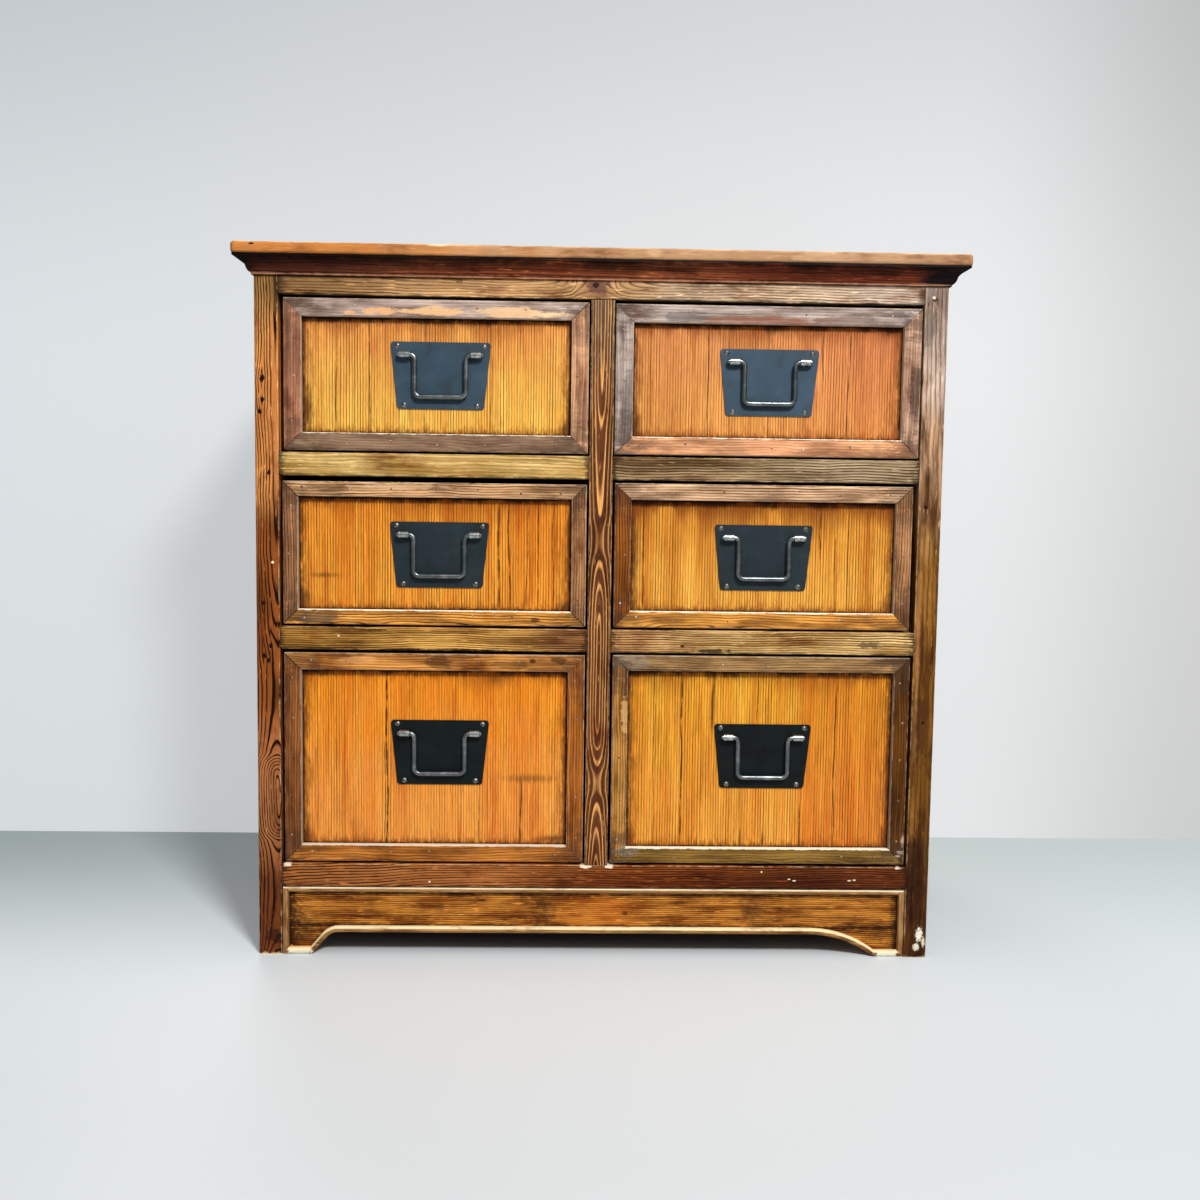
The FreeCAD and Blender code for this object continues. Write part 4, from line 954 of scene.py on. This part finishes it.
plateReflectionByRow = {                     # the lower a plate, the darker it is painted: a painted reflection, since the upper plates catch more light
    "upper": {}, "middle": dict(base="#1a262b", rubbed="#2b3a42", tarnish="#11181a", gloss=0.3),
    "lower": dict(base="#101616", rubbed="#1c2424", tarnish="#080a0b", gloss=0.15),
}
plateFace = -0.18875 - 0.0015      # the front of a plate, behind its ears
metalBump = (0.5, 0.00008)         # strength and distance


def metalMaterial(name, look):
    material, bench, place = newMaterial(name)
    metal = bench.group(wornMetal, look, place=place)
    bench.dress(metal.painted, metal.roughness, metal.height, *metalBump, Metallic=look["metallic"])
    return material


def plateMaterial(row):            # the flat plate is black, the rolled ears in front of it are bright
    look, earLook = {**metals["plate"], **plateReflectionByRow[row]}, metals["ear"]
    material, bench, place = newMaterial(row + "_plate_finish")
    isEar = bench.fall(bench.split(place)[1], plateFace - 0.0008, plateFace - 0.0002)
    plate, ear = (bench.group(wornMetal, one, place=place) for one in (look, earLook))
    rough = isEar * (ear.roughness - plate.roughness) + plate.roughness
    metallic = isEar * (earLook["metallic"] - look["metallic"]) + look["metallic"]
    bench.dress(bench.blend(isEar, plate.painted, ear.painted), rough, plate.height, *metalBump,
                Metallic=metallic, Specular_IOR_Level=look["gloss"])
    return material


paintCase()
print("case painted")

boxWood = dict(grain="y", light="#d3ac78", dark="#b08552", line="#6e4a26", lineStrength=0.45,
               ringSpacing=0.006, seed=50.0, stainStrength=0.4)
bailFinish, screwFinish, nailFinish = (metalMaterial(kind + "_finish", metals[kind])
                                       for kind in ("bail", "screw", "nail"))
plateFinishes = {row: plateMaterial(row) for row in plateReflectionByRow}
for name in drawerNames:
    paint(name + "_drawer_panel", panelMaterial(name, panelLooks[name], frameLooks[name]["strip"]))
    paint(name + "_drawer_frame", frameMaterial(name, frameLooks[name]))
    paint(name + "_drawer_box", woodMaterial(name + "_box_finish", **boxWood))
    paint(name + "_handle_plate", plateFinishes[name.split("_")[0]])
    paint(name + "_bail", bailFinish)
    paint(name + "_handle_screws", screwFinish)
print("drawers painted")

frameNail = {"step": 0.049, "jitter": 0.009, "sideJitter": 0.003, "radius": 0.0016, "height": 0.0008,
             "sink": 0.0002, "inset": 0.022, "facing": (0.0, -1.0, 0.0), "firstSeed": 60}


def buildNailLine():               # small round heads along the edges of a mesh, with chance in their places
    bench, taken = startGroup(
        "nailLine", "shape lines, number spacing, vector jitter, vector facing, number headRadius, "
        "number headHeight, whole seed, material finish", "shape nails", "GeometryNodeTree")
    curve = bench.add("GeometryNodeMeshToCurve", {"Mesh": taken.lines})
    spaced = bench.add("GeometryNodeResampleCurve", {"Curve": curve, "Length": taken.spacing}, mode="LENGTH")
    limits = {"Min": taken.jitter * (-1.0, -1.0, -1.0), "Max": taken.jitter, "Seed": taken.seed}
    shift = bench.add("FunctionNodeRandomValue", limits, data_type="FLOAT_VECTOR")
    moved = bench.add("GeometryNodeSetPosition", {"Geometry": spaced, "Offset": shift})
    head = bench.add("GeometryNodeMeshCone", {
        "Vertices": 12, "Side Segments": 1, "Fill Segments": 1, "Radius Bottom": taken.headRadius,
        "Radius Top": taken.headRadius * 0.55, "Depth": taken.headHeight})
    turn = bench.add("FunctionNodeAlignRotationToVector", {"Vector": taken.facing}, axis="Z")
    size = bench.add("FunctionNodeRandomValue", {2: 0.75, 3: 1.15, "Seed": taken.seed}, 1, data_type="FLOAT")
    placed = bench.add("GeometryNodeInstanceOnPoints", {"Points": moved, "Instance": head, "Rotation": turn,
                                                        "Scale": size})
    solid = bench.add("GeometryNodeRealizeInstances", {"Geometry": placed})
    finished = bench.add("GeometryNodeSetMaterial", {"Geometry": solid, "Material": taken.finish})
    return bench.give(nails=finished)


nailLine = buildNailLine()


def addNails(name, body, lines, jitter, seed):
    mesh = bpy.data.meshes.new(name)
    points = [point for line in lines for point in line]
    mesh.from_pydata(points, [(i, i + 1) for i in range(0, len(points), 2)], [])
    lineObject = bpy.data.objects.new(name + "_lines", mesh)
    bpy.context.scene.collection.objects.link(lineObject)
    modifier = lineObject.modifiers.new("nails", "NODES")
    modifier.node_group = nailLine
    inputs = {"spacing": frameNail["step"], "jitter": jitter, "facing": frameNail["facing"], "seed": seed,
              "headRadius": frameNail["radius"], "headHeight": frameNail["height"], "finish": nailFinish}
    for item in nailLine.interface.items_tree:
        if item.in_out == "INPUT" and item.name in inputs:
            modifier[item.identifier] = inputs[item.name]
    lineObject.update_tag()
    depsgraph = bpy.context.evaluated_depsgraph_get()
    made = bpy.data.meshes.new_from_object(lineObject.evaluated_get(depsgraph), depsgraph=depsgraph)
    lineObject.modifiers.remove(modifier)
    bpy.data.objects.remove(lineObject)
    nails = bpy.data.objects.new(name, made)
    bpy.context.scene.collection.objects.link(nails)
    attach(nails, body)


def frameNails(name, strip, seed):
    middle, half = boxOf(name + "_drawer_frame")
    y = middle.y - half.y + frameNail["sink"]
    x, z = half.x - strip / 2, half.z - strip / 2
    inset, jitter, sideJitter = frameNail["inset"], frameNail["jitter"], frameNail["sideJitter"]
    left, right, foot, top = middle.x - x, middle.x + x, middle.z - z, middle.z + z
    level = [((left + inset, y, height), (right - inset, y, height)) for height in (foot, top)]
    upright = [((across, y, foot + inset), (across, y, top - inset)) for across in (left, right)]
    addNails(name + "_level_nails", name + "_drawer", level, (jitter, 0.0, sideJitter), seed)
    addNails(name + "_upright_nails", name + "_drawer", upright, (sideJitter, 0.0, sideJitter), seed + 1)


for number, name in enumerate(drawerNames):
    frameNails(name, frameLooks[name]["strip"], frameNail["firstSeed"] + number * 2)
print("nails ready")
